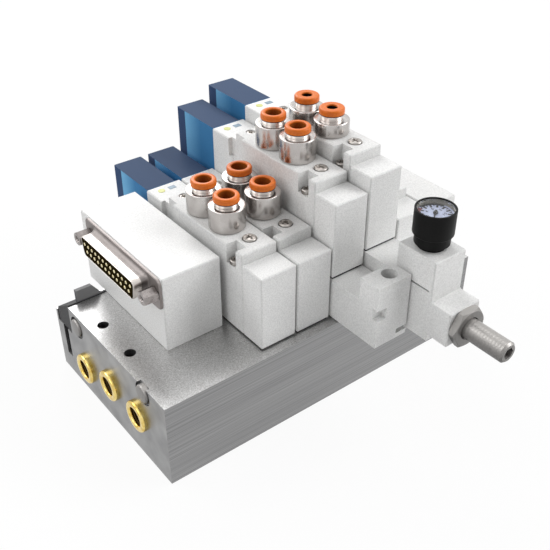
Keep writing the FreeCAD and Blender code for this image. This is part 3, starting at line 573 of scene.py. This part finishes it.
def release_ring(station, low, high):
    """Orange button with a rounded top, the bright collet under it, its bore in painted shade, and a black band of
    painted shadow below the button.
    """
    tube = tube_radius(station)
    foot, top = low[2], high[2]
    head = top - RING_HEIGHT
    band_top = head + SHADOW_BAND_HEIGHT
    edge = top - RING_EDGE
    button = lathe([(SHADOW_BAND_RADIUS, band_top), (RING_RADIUS, band_top), (RING_RADIUS, top), (tube, top), (tube, edge)],
                   [0, 0.05, 0.8, 0.4, 0], closed=False, ease_steps=6)
    collet = lathe([(tube, foot), (NECK_RADIUS, foot), (NECK_RADIUS, head)], closed=False, material=1)
    bore = lathe([(tube, edge), (tube, foot)], closed=False, material=2)
    shadow_band = lathe([(NECK_RADIUS, head), (SHADOW_BAND_RADIUS, head), (SHADOW_BAND_RADIUS, band_top)], [0, 0.1, 0], closed=False,
                 material=3)
    return button, collet, bore, shadow_band


sleeves = [placed(sleeve(station), fitting_axis(station, side)) for station in STATIONS for side in SIDES]
make_piece("push_in_sleeves", sleeves, [nickel], "island", ["fitting_sleeves"])

for station in STATIONS:
    # Painted shade down the bore: black in the small tube's rings, brown in the others
    inside = painted_shade_black if station == SMALL_TUBE_STATION else painted_shade_bore
    for side in SIDES:
        name = "release_ring_%d%s" % (station, side)
        x, y, _ = fitting_axis(station, side)
        ring = [placed(part, (x, y, 0)) for part in release_ring(station, *node_box(name))]
        make_piece(name + "_button", ring, [orange, collet_nickel, inside, painted_shade_black], name,
                   [name])

# ---------------------------------------------------------------- screws

# Cross recess: half a slot's width, its arm as a share of the head's radius, its depth and its walls' run
CROSS_SLOT = 0.42
CROSS_ARM = 0.62
CROSS_DEPTH = 0.75
CROSS_WALL = 0.12
# Pan head: rise of its dome, share of the radius that the cap covers, height that the edge falls
HEAD_DOME = 0.16
CAP_SHARE = 0.82
HEAD_EDGE = 0.3


def cross_head(radius):
    """Pan head with a cross recess: the top is a grid of rings and angles whose height falls inside the cross,
    where the smaller of |x| and |y| is under half a slot and the larger is under the arm."""
    arm = CROSS_ARM * radius
    rings = np.concatenate([np.linspace(0, arm * 1.15, 15), [radius * CAP_SHARE]])
    angle = turn_angles(FINE_STEPS)
    across = np.abs(rings[:, None] * np.cos(angle))
    along = np.abs(rings[:, None] * np.sin(angle))
    inside = np.clip((CROSS_SLOT - np.minimum(across, along)) / CROSS_WALL, 0, 1)
    inside = inside * np.clip((arm - np.maximum(across, along)) / CROSS_WALL, 0, 1)
    dome = HEAD_DOME * (1 - (rings / radius) ** 2)[:, None]
    foot = SCREW_HEAD_HEIGHT - HEAD_DOME
    cap = revolved(rings, foot + dome - CROSS_DEPTH * inside, steps=FINE_STEPS)
    rim = lathe([(radius * CAP_SHARE, foot + HEAD_DOME * (1 - CAP_SHARE ** 2)),
                 (radius, SCREW_HEAD_HEIGHT - HEAD_EDGE), (radius, 0), (SCREW_SHANK, 0)], [0, 0.4, 0.1, 0],
                closed=False, steps=FINE_STEPS)
    return cap, rim


def cap_screw(x, y, foot, radius, length):
    """Cross head on a plain shank."""
    shank = lathe([(SCREW_SHANK, 0), (SCREW_SHANK, -length), (0, -length)], closed=False, steps=FINE_STEPS)
    return [placed(part, (x, y, foot)) for part in (*cross_head(radius), shank)]


# Right and back of the valve body's left front corner, foot of the head under the deck, and its radius
DECK_SCREW = (8.8, 7.3, 1.0, 2.55)
NOTCH_SCREW = (2.2, 6.9, 7.4, 2.1)
REAR_SCREW = (6.9, 47.1, 2.0, 1.7)
DECK_SCREW_LENGTH = 11.0
SCREW_FOOT = BASE_HIGH[2] - 6.0

screws = []
for station in STATIONS:
    low, high = node_box("valve_body_%d" % station)
    for place in (DECK_SCREW, NOTCH_SCREW, REAR_SCREW):
        x, y, drop, radius = place
        length = DECK_SCREW_LENGTH if place is DECK_SCREW else high[2] - drop - SCREW_FOOT
        screws += cap_screw(low[0] + x, low[1] + y, high[2] - drop, radius, length)
make_piece("cross_head_screws", screws, [zinc], "island", ["valve_screws"])

END_SCREWS = ((64.0, 29.4), (14.6, 32.0))
END_HEAD_INSET = 1.4
END_HEAD_RADIUS = 3.6
END_HEAD_HEIGHT = 2.2
end_head = lathe([(0, 0), (END_HEAD_RADIUS, 0), (END_HEAD_RADIUS, END_HEAD_HEIGHT), (0, END_HEAD_HEIGHT)],
                 [0, 0, 0.9, 0], closed=False)
end_heads = [placed(end_head, corner(END_HEAD_INSET, y, z), "-x") for y, z in END_SCREWS]
make_piece("end_face_screws", end_heads, [dull_zinc], "island", ["end_screws"])

# ---------------------------------------------------------------- brass ports and plugs

GALLERIES = ((19.6, 18.1), (39.7, 18.0), (59.5, 12.5))
PORT_RIM = 2.0
PORT_RIM_RADIUS = 6.2
PORT_BODY_RADIUS = 4.85
PORT_BODY = 7.0
PORT_MOUTH = 0.9
PORT_END = PORT_RIM + PORT_BODY
PORT_STEPS = 64
THREAD_PITCH = 0.907
THREAD_MINOR = 3.7
THREAD_DEPTH = 0.35
PLUG_SOCKET = 4.0
PLUG_SOCKET_DEPTH = 4.0
PLUG_LENGTH = 8.0
PLUG_EASE = 0.3


def threaded_port():
    """Insert along +Z: a rounded rim that bulges round the bore, and a body; in the bore, a thread whose radius is
    the minor radius plus a triangle wave of height over pitch minus angle over a turn, faded at both ends."""
    rows = np.linspace(0, PORT_END - PORT_MOUTH, 70)
    fade = np.clip(rows / 1.0, 0, 1)[:, None] * np.clip((rows[-1] - rows) / 0.8, 0, 1)[:, None]
    depth = THREAD_DEPTH * thread_wave(rows, THREAD_PITCH, PORT_STEPS) * fade
    thread = revolved(THREAD_MINOR + depth, rows + PORT_MOUTH, steps=PORT_STEPS, material=1)
    shell = lathe([(THREAD_MINOR, PORT_MOUTH), (THREAD_MINOR + 0.2, 0.15), (THREAD_MINOR + 1.1, 0),
                   (PORT_RIM_RADIUS, 0.2), (PORT_RIM_RADIUS, PORT_RIM), (PORT_BODY_RADIUS, PORT_RIM),
                   (PORT_BODY_RADIUS, PORT_END), (THREAD_MINOR, PORT_END)], [0, 0.5, 0.5, 1.2, 0, 0, 0, 0],
                  closed=False, steps=PORT_STEPS, ease_steps=8)
    return [shell, thread]


def end_plug():
    """Round bar along +Z with a hexagonal socket in its near face, whose rows pass from the hexagon to the circle."""
    hexed = hexagon(PLUG_SOCKET)
    return turned([(0, PLUG_SOCKET_DEPTH), (hexed * 0.98, PLUG_SOCKET_DEPTH), (hexed, 0),
                   (PORT_BODY_RADIUS - PLUG_EASE, 0), (PORT_BODY_RADIUS, PLUG_EASE),
                   (PORT_BODY_RADIUS, PLUG_LENGTH), (0, PLUG_LENGTH)])


ports = []
for y, z in GALLERIES:
    ports += [placed(part, corner(-PORT_RIM, y, z), "x") for part in threaded_port()]
    ports.append(placed(end_plug(), (BASE_HIGH[0], corner(0, y, z)[1], z), "-x"))
make_piece("brass_ports", ports, [brass, shaded_thread_brass], "island", ["port_inserts"])

# ---------------------------------------------------------------- multipole connector

SHELL_MIDDLE = corner(16.5, 51.1, 60.0)
SHELL_WIDTH = 38.96
SHELL_HEIGHT = 8.36
SHELL_SLOPE = 10
SHELL_REACH = 6.7
SHELL_WALL = 0.5
SHELL_LIP = 0.25
SHELL_CORNER = 2.4
FLARE_REACH = 3.0
FLARE_UP = 1.8
FLARE_ACROSS = 0.9
COLLAR_ROWS = 6
FLANGE_WIDTH = 53.04
FLANGE_HEIGHT = 12.55
FLANGE_THICKNESS = 1.0
FLANGE_CORNER = 2.2
FLANGE_EDGE = 0.25
OUTLINE_STEPS = 8
CONTACT_PITCH = 2.77
CONTACT_ROWS = 2.84
CONTACT_COUNTS = ((1, 13), (-1, 12))
CONTACT_LIP = 0.08
CONTACT_RADIUS = 0.72
CONTACT_FACE = 0.6
CONTACT_BORE = 0.28
CONTACT_BORE_DEPTH = 1.6
CONTACT_LENGTH = 12.0
JACKSCREW_OFFSET = 23.52
JACKSCREW_HEX = 5.0
JACKSCREW_REACH = 5.5
JACKSCREW_FACE = 2.35
JACKSCREW_SHANK = 1.4
JACKSCREW_END = 8.5
JACKSCREW_MOUTH = 1.5
JACKSCREW_BORE = 1.2
JACKSCREW_BORE_START = 0.3
JACKSCREW_BORE_END = 3.8
JACKSCREW_PITCH = 0.635
JACKSCREW_THREAD = 0.22


def d_outline(inset):
    """D shape in the face's plane, as (across, up) points: the wide side up, its ends leaning 10 degrees."""
    half_width, half_height = SHELL_WIDTH / 2 - inset, SHELL_HEIGHT / 2 - inset
    lean = math.tan(math.radians(SHELL_SLOPE)) * 2 * half_height
    corners = [(half_width, half_height), (-half_width, half_height), (-half_width + lean, -half_height),
               (half_width - lean, -half_height)]
    return eased(corners, SHELL_CORNER - inset * 0.8, closed=True, steps=OUTLINE_STEPS)


def plate_outline():
    """Rounded rectangle of the flange with as many points as the D shape."""
    half_width, half_height = FLANGE_WIDTH / 2, FLANGE_HEIGHT / 2
    corners = [(half_width, half_height), (-half_width, half_height), (-half_width, -half_height),
               (half_width, -half_height)]
    return eased(corners, FLANGE_CORNER, closed=True, steps=OUTLINE_STEPS)


def connector_shell():
    """Drawn shell: one loop of rows from the lip, down the flared collar, over the flange's face and edge, and
    back inside the collar. A row is a D outline or the flange's outline at its distance from the housing. The
    collar's first rows take the tin's colour; the rest, the flange and the inside take a darker copy of it as
    painted shade."""
    plate = plate_outline()
    outer = d_outline(0)
    rows = [(d_outline(SHELL_WALL), SHELL_REACH - SHELL_LIP), (d_outline(SHELL_WALL * 0.7), SHELL_REACH),
            (d_outline(SHELL_WALL * 0.3), SHELL_REACH), (outer, SHELL_REACH - SHELL_LIP)]
    for s in np.linspace(0, 1, 10):
        share = 1 - math.cos(s * math.pi / 2)
        rise = FLANGE_THICKNESS + FLARE_REACH * (1 - math.sin(s * math.pi / 2))
        widened = 1 + FLARE_ACROSS * share * 2 / SHELL_WIDTH
        raised = 1 + FLARE_UP * share * 2 / SHELL_HEIGHT
        rows.append((outer * (widened, raised), rise))
    shrink = 1 - FLANGE_EDGE / (FLANGE_HEIGHT / 2)
    rows += [(plate * (1, shrink) - np.sign(plate) * (FLANGE_EDGE, 0), FLANGE_THICKNESS),
             (plate, FLANGE_THICKNESS - FLANGE_EDGE), (plate, 0), (d_outline(SHELL_WALL), 0)]
    grid = np.stack([np.column_stack([np.full(len(line), -out), line]) for line, out in rows]) + SHELL_MIDDLE
    foot = grid[COLLAR_ROWS - 1:]
    return [patch(grid[:COLLAR_ROWS]), patch(np.concatenate([foot, grid[:1]]), material=1)]


def contact():
    """Round socket contact along +Z: a small bore in a face whose edge is eased, and a plain body."""
    return lathe([(0, CONTACT_BORE_DEPTH), (CONTACT_BORE, CONTACT_BORE_DEPTH), (CONTACT_BORE, 0), (CONTACT_FACE, 0),
                  (CONTACT_RADIUS, CONTACT_LIP + 0.3), (CONTACT_RADIUS, 1.0), (CONTACT_RADIUS, CONTACT_LENGTH),
                  (0, CONTACT_LENGTH)], [0, 0, 0.04, 0.04, 0, 0, 0, 0], closed=False, steps=20, ease_steps=2)


def jackscrew():
    """Hexagonal standoff along +Z with chamfered corners and a threaded hole, on a plain shank."""
    hexed = hexagon(JACKSCREW_HEX)
    cut = (hexed - JACKSCREW_FACE) / CHAMFER_SLOPE
    rows = np.linspace(JACKSCREW_BORE_START, JACKSCREW_BORE_END, 42)
    wave = thread_wave(rows, JACKSCREW_PITCH, FINE_STEPS)
    thread = revolved(JACKSCREW_BORE + JACKSCREW_THREAD * wave, rows, steps=FINE_STEPS)
    floor = turned([(0, JACKSCREW_BORE_END), (JACKSCREW_BORE, JACKSCREW_BORE_END)])
    outside = turned([(JACKSCREW_BORE, JACKSCREW_BORE_START), (JACKSCREW_MOUTH, 0), (JACKSCREW_FACE, 0),
                      (hexed, cut), (hexed, JACKSCREW_REACH - cut), (JACKSCREW_FACE, JACKSCREW_REACH),
                      (JACKSCREW_SHANK, JACKSCREW_REACH), (JACKSCREW_SHANK, JACKSCREW_END), (0, JACKSCREW_END)])
    return [floor, thread, outside]


make_piece("connector_shell", connector_shell(), [tin, tin_painted_shade], "island", ["dsub_shell"])

contacts = []
for row, count in CONTACT_COUNTS:
    for i in range(count):
        across = (i - (count - 1) / 2) * CONTACT_PITCH
        middle = SHELL_MIDDLE + (-SHELL_REACH - CONTACT_LIP, across, row * CONTACT_ROWS / 2)
        contacts.append(placed(contact(), middle, "x"))
make_piece("socket_contacts", contacts, [gold], "island", ["dsub_contacts"])

posts = []
for side in (-1, 1):
    start = SHELL_MIDDLE + (-FLANGE_THICKNESS - JACKSCREW_REACH, side * JACKSCREW_OFFSET, 0)
    posts += [placed(part, start, "x") for part in jackscrew()]
make_piece("jackscrew_posts", posts, [post_steel], "island", ["dsub_jackscrews"], sharp=25)

# ---------------------------------------------------------------- adjuster

NUT_ACROSS = 14.0
NUT_BORE = 4.05
NUT_EASE = 0.4
ADJUSTER_RADIUS = 4.0
ADJUSTER_PITCH = 1.25
ADJUSTER_DEPTH = 0.03
ADJUSTER_CHAMFER = 0.8
ADJUSTER_SOCKET = 4.0
ADJUSTER_SOCKET_DEPTH = 4.0
ADJUSTER_RUN_OUT = 0.6


def front_of(low, high):
    """Middle of a node's front face."""
    return (low[0] + high[0]) / 2, low[1], (low[2] + high[2]) / 2


def nut():
    """Hexagonal nut along +Z: each face's cone meets the flats where its radius reaches the hexagon's."""
    low, high = node_box("lock_nut")
    thickness = high[1] - low[1]
    hexed = hexagon(NUT_ACROSS)
    face = NUT_ACROSS / 2 * 0.97
    cut = (hexed - face) / CHAMFER_SLOPE
    surface = turned([(NUT_BORE, NUT_EASE), (NUT_BORE + NUT_EASE, 0), (face, 0), (hexed, cut),
                      (hexed, thickness - cut), (face, thickness), (NUT_BORE + NUT_EASE, thickness),
                      (NUT_BORE, thickness - NUT_EASE)], closed=True)
    return placed(surface, front_of(low, high), "y")


def threaded_screw():
    """Adjusting screw along +Z: hexagonal socket, chamfered end, and a shank whose radius is the outer radius
    minus a shallow rounded wave of height over pitch minus angle over a turn."""
    low, high = node_box("adjusting_screw")
    length = high[1] - low[1]
    hexed = hexagon(ADJUSTER_SOCKET)
    face = ADJUSTER_RADIUS - ADJUSTER_CHAMFER
    end = turned([(0, ADJUSTER_SOCKET_DEPTH), (hexed * 0.98, ADJUSTER_SOCKET_DEPTH), (hexed, 0), (face, 0)])
    rows = np.arange(ADJUSTER_CHAMFER, length - ADJUSTER_CHAMFER, ADJUSTER_PITCH / 8)
    wave = 0.5 - 0.5 * np.cos(TURN * (rows[:, None] / ADJUSTER_PITCH - turn_angles(FINE_STEPS) / TURN))
    fade = (np.clip((rows - ADJUSTER_CHAMFER) / ADJUSTER_RUN_OUT, 0, 1)
            * np.clip((rows[-1] - rows) / ADJUSTER_RUN_OUT, 0, 1))
    radii = ADJUSTER_RADIUS - ADJUSTER_DEPTH * wave * fade[:, None]
    shank = turned([(face, 0), *zip(radii, rows), (face, length), (0, length)])
    return [placed(part, front_of(low, high), "y") for part in (end, shank)]


make_piece("hexagon_lock_nut", [nut()], [dull_zinc], "lock_nut", ["lock_nut"], sharp=20)
make_piece("threaded_adjusting_screw", threaded_screw(), [dull_zinc], "adjusting_screw",
           ["adjusting_screw"], sharp=40)

# ---------------------------------------------------------------- gauge

case_low, case_high = node_box("gauge_case")
dial_low, dial_high = node_box("gauge_dial")
lens_low, lens_high = node_box("gauge_lens")
block_top = node_box("gauge_block")[1][2]
GAUGE = ((case_low[0] + case_high[0]) / 2, (case_low[1] + case_high[1]) / 2)
GAUGE_STEPS = 96
RIM = case_high[2]
RIM_DEPTH = 0.4
CASE_RADIUS = 7.3
CASE_INNER = 6.5
WELL_RADIUS = 5.7
BASE_RADIUS = 6.4
NECK_WIDE = 5.2
SHANK_RADIUS = 3.3
NECK_TOP = block_top + 1.3
BASE_TOP = NECK_TOP + 4.0
DIAL = dial_high[2]
DIAL_RADIUS = 6.45
DIAL_HOLE = 0.4
LENS_RADIUS = CASE_INNER - 0.05

# Print: angles in degrees from +X, radii in mm
SCALE_START = 225.0
SCALE_SWEEP = 270.0
SCALE_LARGEST = 10
PRINT = 0.03
PRINT_TOP = DIAL + PRINT
RED_LIFT = 0.01
ARC_STEPS = 40
BLACK_SLOT, RED_SLOT = 1, 2
NUMBER_SIZE = 1.8
NUMBER_RADIUS = 3.0


def at_gauge(part):
    """Moves a patch onto the gauge's axis."""
    return placed(part, (*GAUGE, 0))


def scale_angles(count):
    """Angles of so many even steps over the scale."""
    return np.radians(SCALE_START - SCALE_SWEEP * np.arange(0, count + 1) / count)


def arc_bars(angles, inner, outer, width):
    """Radial bars on the dial: each is a box between two radii, turned to its angle."""
    along = np.stack([np.cos(angles), np.sin(angles)], axis=-1)
    aside = np.stack([-along[:, 1], along[:, 0]], axis=-1)
    square = [(inner, -0.5), (outer, -0.5), (outer, 0.5), (inner, 0.5)]
    ring = np.stack([along * r + aside * s * width for r, s in square], axis=1)
    middle = ring.mean(axis=1, keepdims=True)
    levels = []
    for height, share in ((DIAL, 0), (DIAL, 1), (PRINT_TOP, 1), (PRINT_TOP, 0)):
        flat = middle + (ring - middle) * share
        levels.append(np.concatenate([flat, np.full(flat.shape[:2] + (1,), height)], axis=-1))
    return [patch(grid, material=BLACK_SLOT) for grid in np.stack(levels, axis=1)]


def dial_arc(start, end, inner, outer, top=PRINT_TOP, material=BLACK_SLOT):
    """Thin band on the dial between two radii and two angles, closed at its ends."""
    angle = np.radians(np.linspace(start, end, ARC_STEPS))[:, None]
    section = np.array([(inner, DIAL), (outer, DIAL), (outer, top), (inner, top)])
    radius, height = section[:, 0][None], section[:, 1][None]
    band = np.stack([radius * np.cos(angle), radius * np.sin(angle), height + 0 * angle], axis=-1)
    ends = [np.stack([np.broadcast_to(band[i].mean(axis=0), (4, 3)), band[i]]) for i in (0, -1)]
    return [patch(grid, material=material) for grid in (band, *ends)]


case = lathe([(0, case_low[2]), (SHANK_RADIUS, case_low[2]), (SHANK_RADIUS, block_top), (NECK_WIDE, block_top),
              (NECK_WIDE, NECK_TOP), (BASE_RADIUS, NECK_TOP), (BASE_RADIUS, BASE_TOP), (CASE_RADIUS, BASE_TOP),
              (CASE_RADIUS, RIM), (CASE_INNER, RIM), (CASE_INNER, RIM - RIM_DEPTH)],
             [0, 0.2, 0, 0.2, 0, 0.5, 0, 0.4, 0.3, 0.15, 0], closed=False, steps=GAUGE_STEPS)
inner_wall = lathe([(CASE_INNER, RIM - RIM_DEPTH), (CASE_INNER, dial_low[2]), (WELL_RADIUS, dial_low[2]),
                    (WELL_RADIUS, BASE_TOP), (0, BASE_TOP)], closed=False, steps=GAUGE_STEPS, material=1)
make_piece("gauge_case_and_rim", [at_gauge(case), at_gauge(inner_wall)], [case_black, case_inside], "island",
           ["gauge_case"])

plate = lathe([(DIAL_HOLE, dial_low[2]), (DIAL_RADIUS, dial_low[2]), (DIAL_RADIUS, DIAL), (DIAL_HOLE, DIAL)],
              steps=GAUGE_STEPS)
long_marks = arc_bars(scale_angles(10), 4.0, 5.5, 0.7)
short_marks = arc_bars(scale_angles(20), 4.8, 5.5, 0.35)
base_line = dial_arc(SCALE_START - SCALE_SWEEP, SCALE_START, 5.45, 5.65)
black_band = dial_arc(15, 100, 5.6, 6.4)
red_band = dial_arc(105, 160, 5.0, 6.35, PRINT_TOP + RED_LIFT, RED_SLOT)
dial_parts = [at_gauge(part) for part in (plate, *long_marks, *short_marks, *base_line, *black_band, *red_band)]
make_piece("gauge_dial_plate", dial_parts, [dial_lilac, mark_black, mark_red], "island", ["gauge_dial"])

for value in range(0, SCALE_LARGEST + 1, 2):
    text = bpy.data.curves.new("scale_number_%d" % value, "FONT")
    text.body = str(value)
    text.size = NUMBER_SIZE * MM
    text.align_x = text.align_y = "CENTER"
    text.extrude = PRINT / 2 * MM
    drawn = bpy.data.objects.new("scale_number_%d" % value, text)
    bpy.context.scene.collection.objects.link(drawn)
    mesh = bpy.data.meshes.new_from_object(drawn.evaluated_get(bpy.context.evaluated_depsgraph_get()))
    bpy.data.objects.remove(drawn)
    angle = math.radians(SCALE_START - SCALE_SWEEP * value / SCALE_LARGEST)
    middle = (GAUGE[0] + NUMBER_RADIUS * math.cos(angle), GAUGE[1] + NUMBER_RADIUS * math.sin(angle),
              DIAL + PRINT / 2)
    points = np.zeros(len(mesh.vertices) * 3)
    mesh.vertices.foreach_get("co", points)
    mesh.vertices.foreach_set("co", (points.reshape(-1, 3) + np.array(middle) * MM).ravel())
    mesh.materials.clear()
    mesh.materials.append(mark_black)
    number = bpy.data.objects.new("dial_number_%d" % value, mesh)
    bpy.context.scene.collection.objects.link(number)
    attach(number, "island")

window = lathe([(0, lens_low[2]), (LENS_RADIUS, lens_low[2]), (LENS_RADIUS, lens_high[2]), (0, lens_high[2])],
               [0, 0, 0.12, 0], closed=False, steps=GAUGE_STEPS)
make_piece("gauge_window", [at_gauge(window)], [lens], "island", ["gauge_lens"])

# Pointer: angle in degrees from +X; corners of the blade as (along, aside) in mm
POINTER_ANGLE = 215.0
POINTER_LIFT = 0.25
BLADE = ((-1.6, -0.35), (4.3, -0.1), (4.3, 0.1), (-1.6, 0.35))
BLADE_THICKNESS = 0.3
HUB_RADIUS = 0.8
HUB_HEIGHT = 0.45
PIN_RADIUS = 0.35
PIN_LENGTH = 2.0


def pointer():
    """Tapered blade, round hub and pin."""
    turn = math.radians(POINTER_ANGLE)
    along, aside = np.array((math.cos(turn), math.sin(turn))), np.array((-math.sin(turn), math.cos(turn)))
    flat = np.array([along * a + aside * b for a, b in BLADE])
    middle = np.broadcast_to(flat.mean(axis=0), flat.shape)
    foot = DIAL + POINTER_LIFT
    top = foot + BLADE_THICKNESS
    rows = ((middle, foot), (flat, foot), (flat, top), (middle, top))
    blade = patch(np.stack([np.column_stack([shape, np.full(len(BLADE), height)]) for shape, height in rows]))
    hub = lathe([(0, foot), (HUB_RADIUS, foot), (HUB_RADIUS, foot + HUB_HEIGHT), (0, foot + HUB_HEIGHT)],
                [0, 0, 0.15, 0], closed=False, steps=32)
    pin = lathe([(0, foot - PIN_LENGTH), (PIN_RADIUS, foot - PIN_LENGTH), (PIN_RADIUS, foot), (0, foot)],
                closed=False, steps=24)
    return [at_gauge(part) for part in (blade, hub, pin)]


make_piece("gauge_needle", pointer(), [pointer_black], "gauge_pointer", ["gauge_pointer"])

# ---------------------------------------------------------------- floor, lights and camera

# Floor in metres; share of pure white that seen rays get from it; light that the surround gives the scene
FLOOR_REACH = 3.0
FLOOR_DROP = 0.0004
PAPER_SHARE = 0.93
SURROUND_LEVEL = 0.12
LAMP_TARGET = (0, 0, 0.05)
# Name, place and width of each lamp, and its power in watts
LAMPS = (
    ("overhead_softbox", (0, 0.05, 1.0), 0.9, 0.8),
    ("right_softbox", (0.75, -0.65, 0.55), 0.6, 6.4),
    ("high_right_softbox", (0.8, -0.2, 0.9), 0.5, 3.6),
    ("rear_left_softbox", (-0.55, 0.75, 0.8), 0.7, 5.2),
    ("left_softbox", (-0.9, -0.1, 0.5), 0.6, 2.3),
    ("rear_softbox", (0.35, 1.0, 0.7), 0.5, 5.5),
    ("high_rear_softbox", (0.5, 0.75, 1.0), 0.5, 1.8),
)
CAMERA_PLACE = (-0.16509, -0.21856, 0.22739)
AZIMUTH = math.radians(-37.75)
ELEVATION = math.radians(35.1)
FOCAL_LENGTH_MM = 54.386
SENSOR_MM = 36.0


def white_card():
    """Matt white card: to the camera and in reflections it stays paper white, and it takes a faint shadow."""
    material, tree, shader, _ = new_material("matt_white_card", Roughness=0.9, Base_Color=linear("#f2f2f2"))
    share = worked_out(tree, "MULTIPLY", seen_rays(tree), PAPER_SHARE)
    glow = add_node(tree, "Emission", {"Color": (1, 1, 1, 1), "Strength": 1.0}).outputs[0]
    surface = add_node(tree, "MixShader", {0: share, 1: shader.outputs[0], 2: glow}).outputs[0]
    tree.links.new(surface, tree.nodes["Material Output"].inputs["Surface"])
    return material


def soft_box(name, at, size, watts):
    """Square area lamp that faces the object."""
    lamp = bpy.data.lights.new(name, "AREA")
    lamp.shape, lamp.size, lamp.energy = "SQUARE", size, watts
    light = bpy.data.objects.new(name, lamp)
    light.location = at
    light.rotation_mode = "QUATERNION"
    light.rotation_quaternion = (Vector(LAMP_TARGET) - Vector(at)).to_track_quat("-Z", "Y")
    bpy.context.scene.collection.objects.link(light)


card = bpy.data.meshes.new("studio_floor")
corners = [(-FLOOR_REACH, -FLOOR_REACH, 0), (FLOOR_REACH, -FLOOR_REACH, 0), (FLOOR_REACH, FLOOR_REACH, 0),
           (-FLOOR_REACH, FLOOR_REACH, 0)]
card.from_pydata(corners, [], [(0, 1, 2, 3)])
card.materials.append(white_card())
floor = bpy.data.objects.new("studio_floor", card)
bpy.context.scene.collection.objects.link(floor)
floor.location.z = -FLOOR_DROP

world = bpy.data.worlds.new("studio_surround")
bpy.context.scene.world = world
world.use_nodes = True
sky = world.node_tree
sky.nodes.clear()
strength = spread(sky, seen_rays(sky), SURROUND_LEVEL, 1.0)
surround = add_node(sky, "Background", {"Color": (1, 1, 1, 1), "Strength": strength}).outputs[0]
add_node(sky, "OutputWorld", {"Surface": surround})

for lamp_values in LAMPS:
    soft_box(*lamp_values)

camera_data = bpy.data.cameras.new("photo_camera")
camera_data.sensor_width = SENSOR_MM
camera_data.lens = FOCAL_LENGTH_MM
camera_data.clip_start, camera_data.clip_end = 0.01, 20.0
camera = bpy.data.objects.new("photo_camera", camera_data)
camera.location = CAMERA_PLACE
back = Vector((math.sin(AZIMUTH) * math.cos(ELEVATION), -math.cos(AZIMUTH) * math.cos(ELEVATION),
               math.sin(ELEVATION)))
camera.rotation_mode = "QUATERNION"
camera.rotation_quaternion = (-back).to_track_quat("-Z", "Y")
bpy.context.scene.collection.objects.link(camera)
bpy.context.scene.camera = camera
bpy.context.scene.view_settings.view_transform = "Standard"
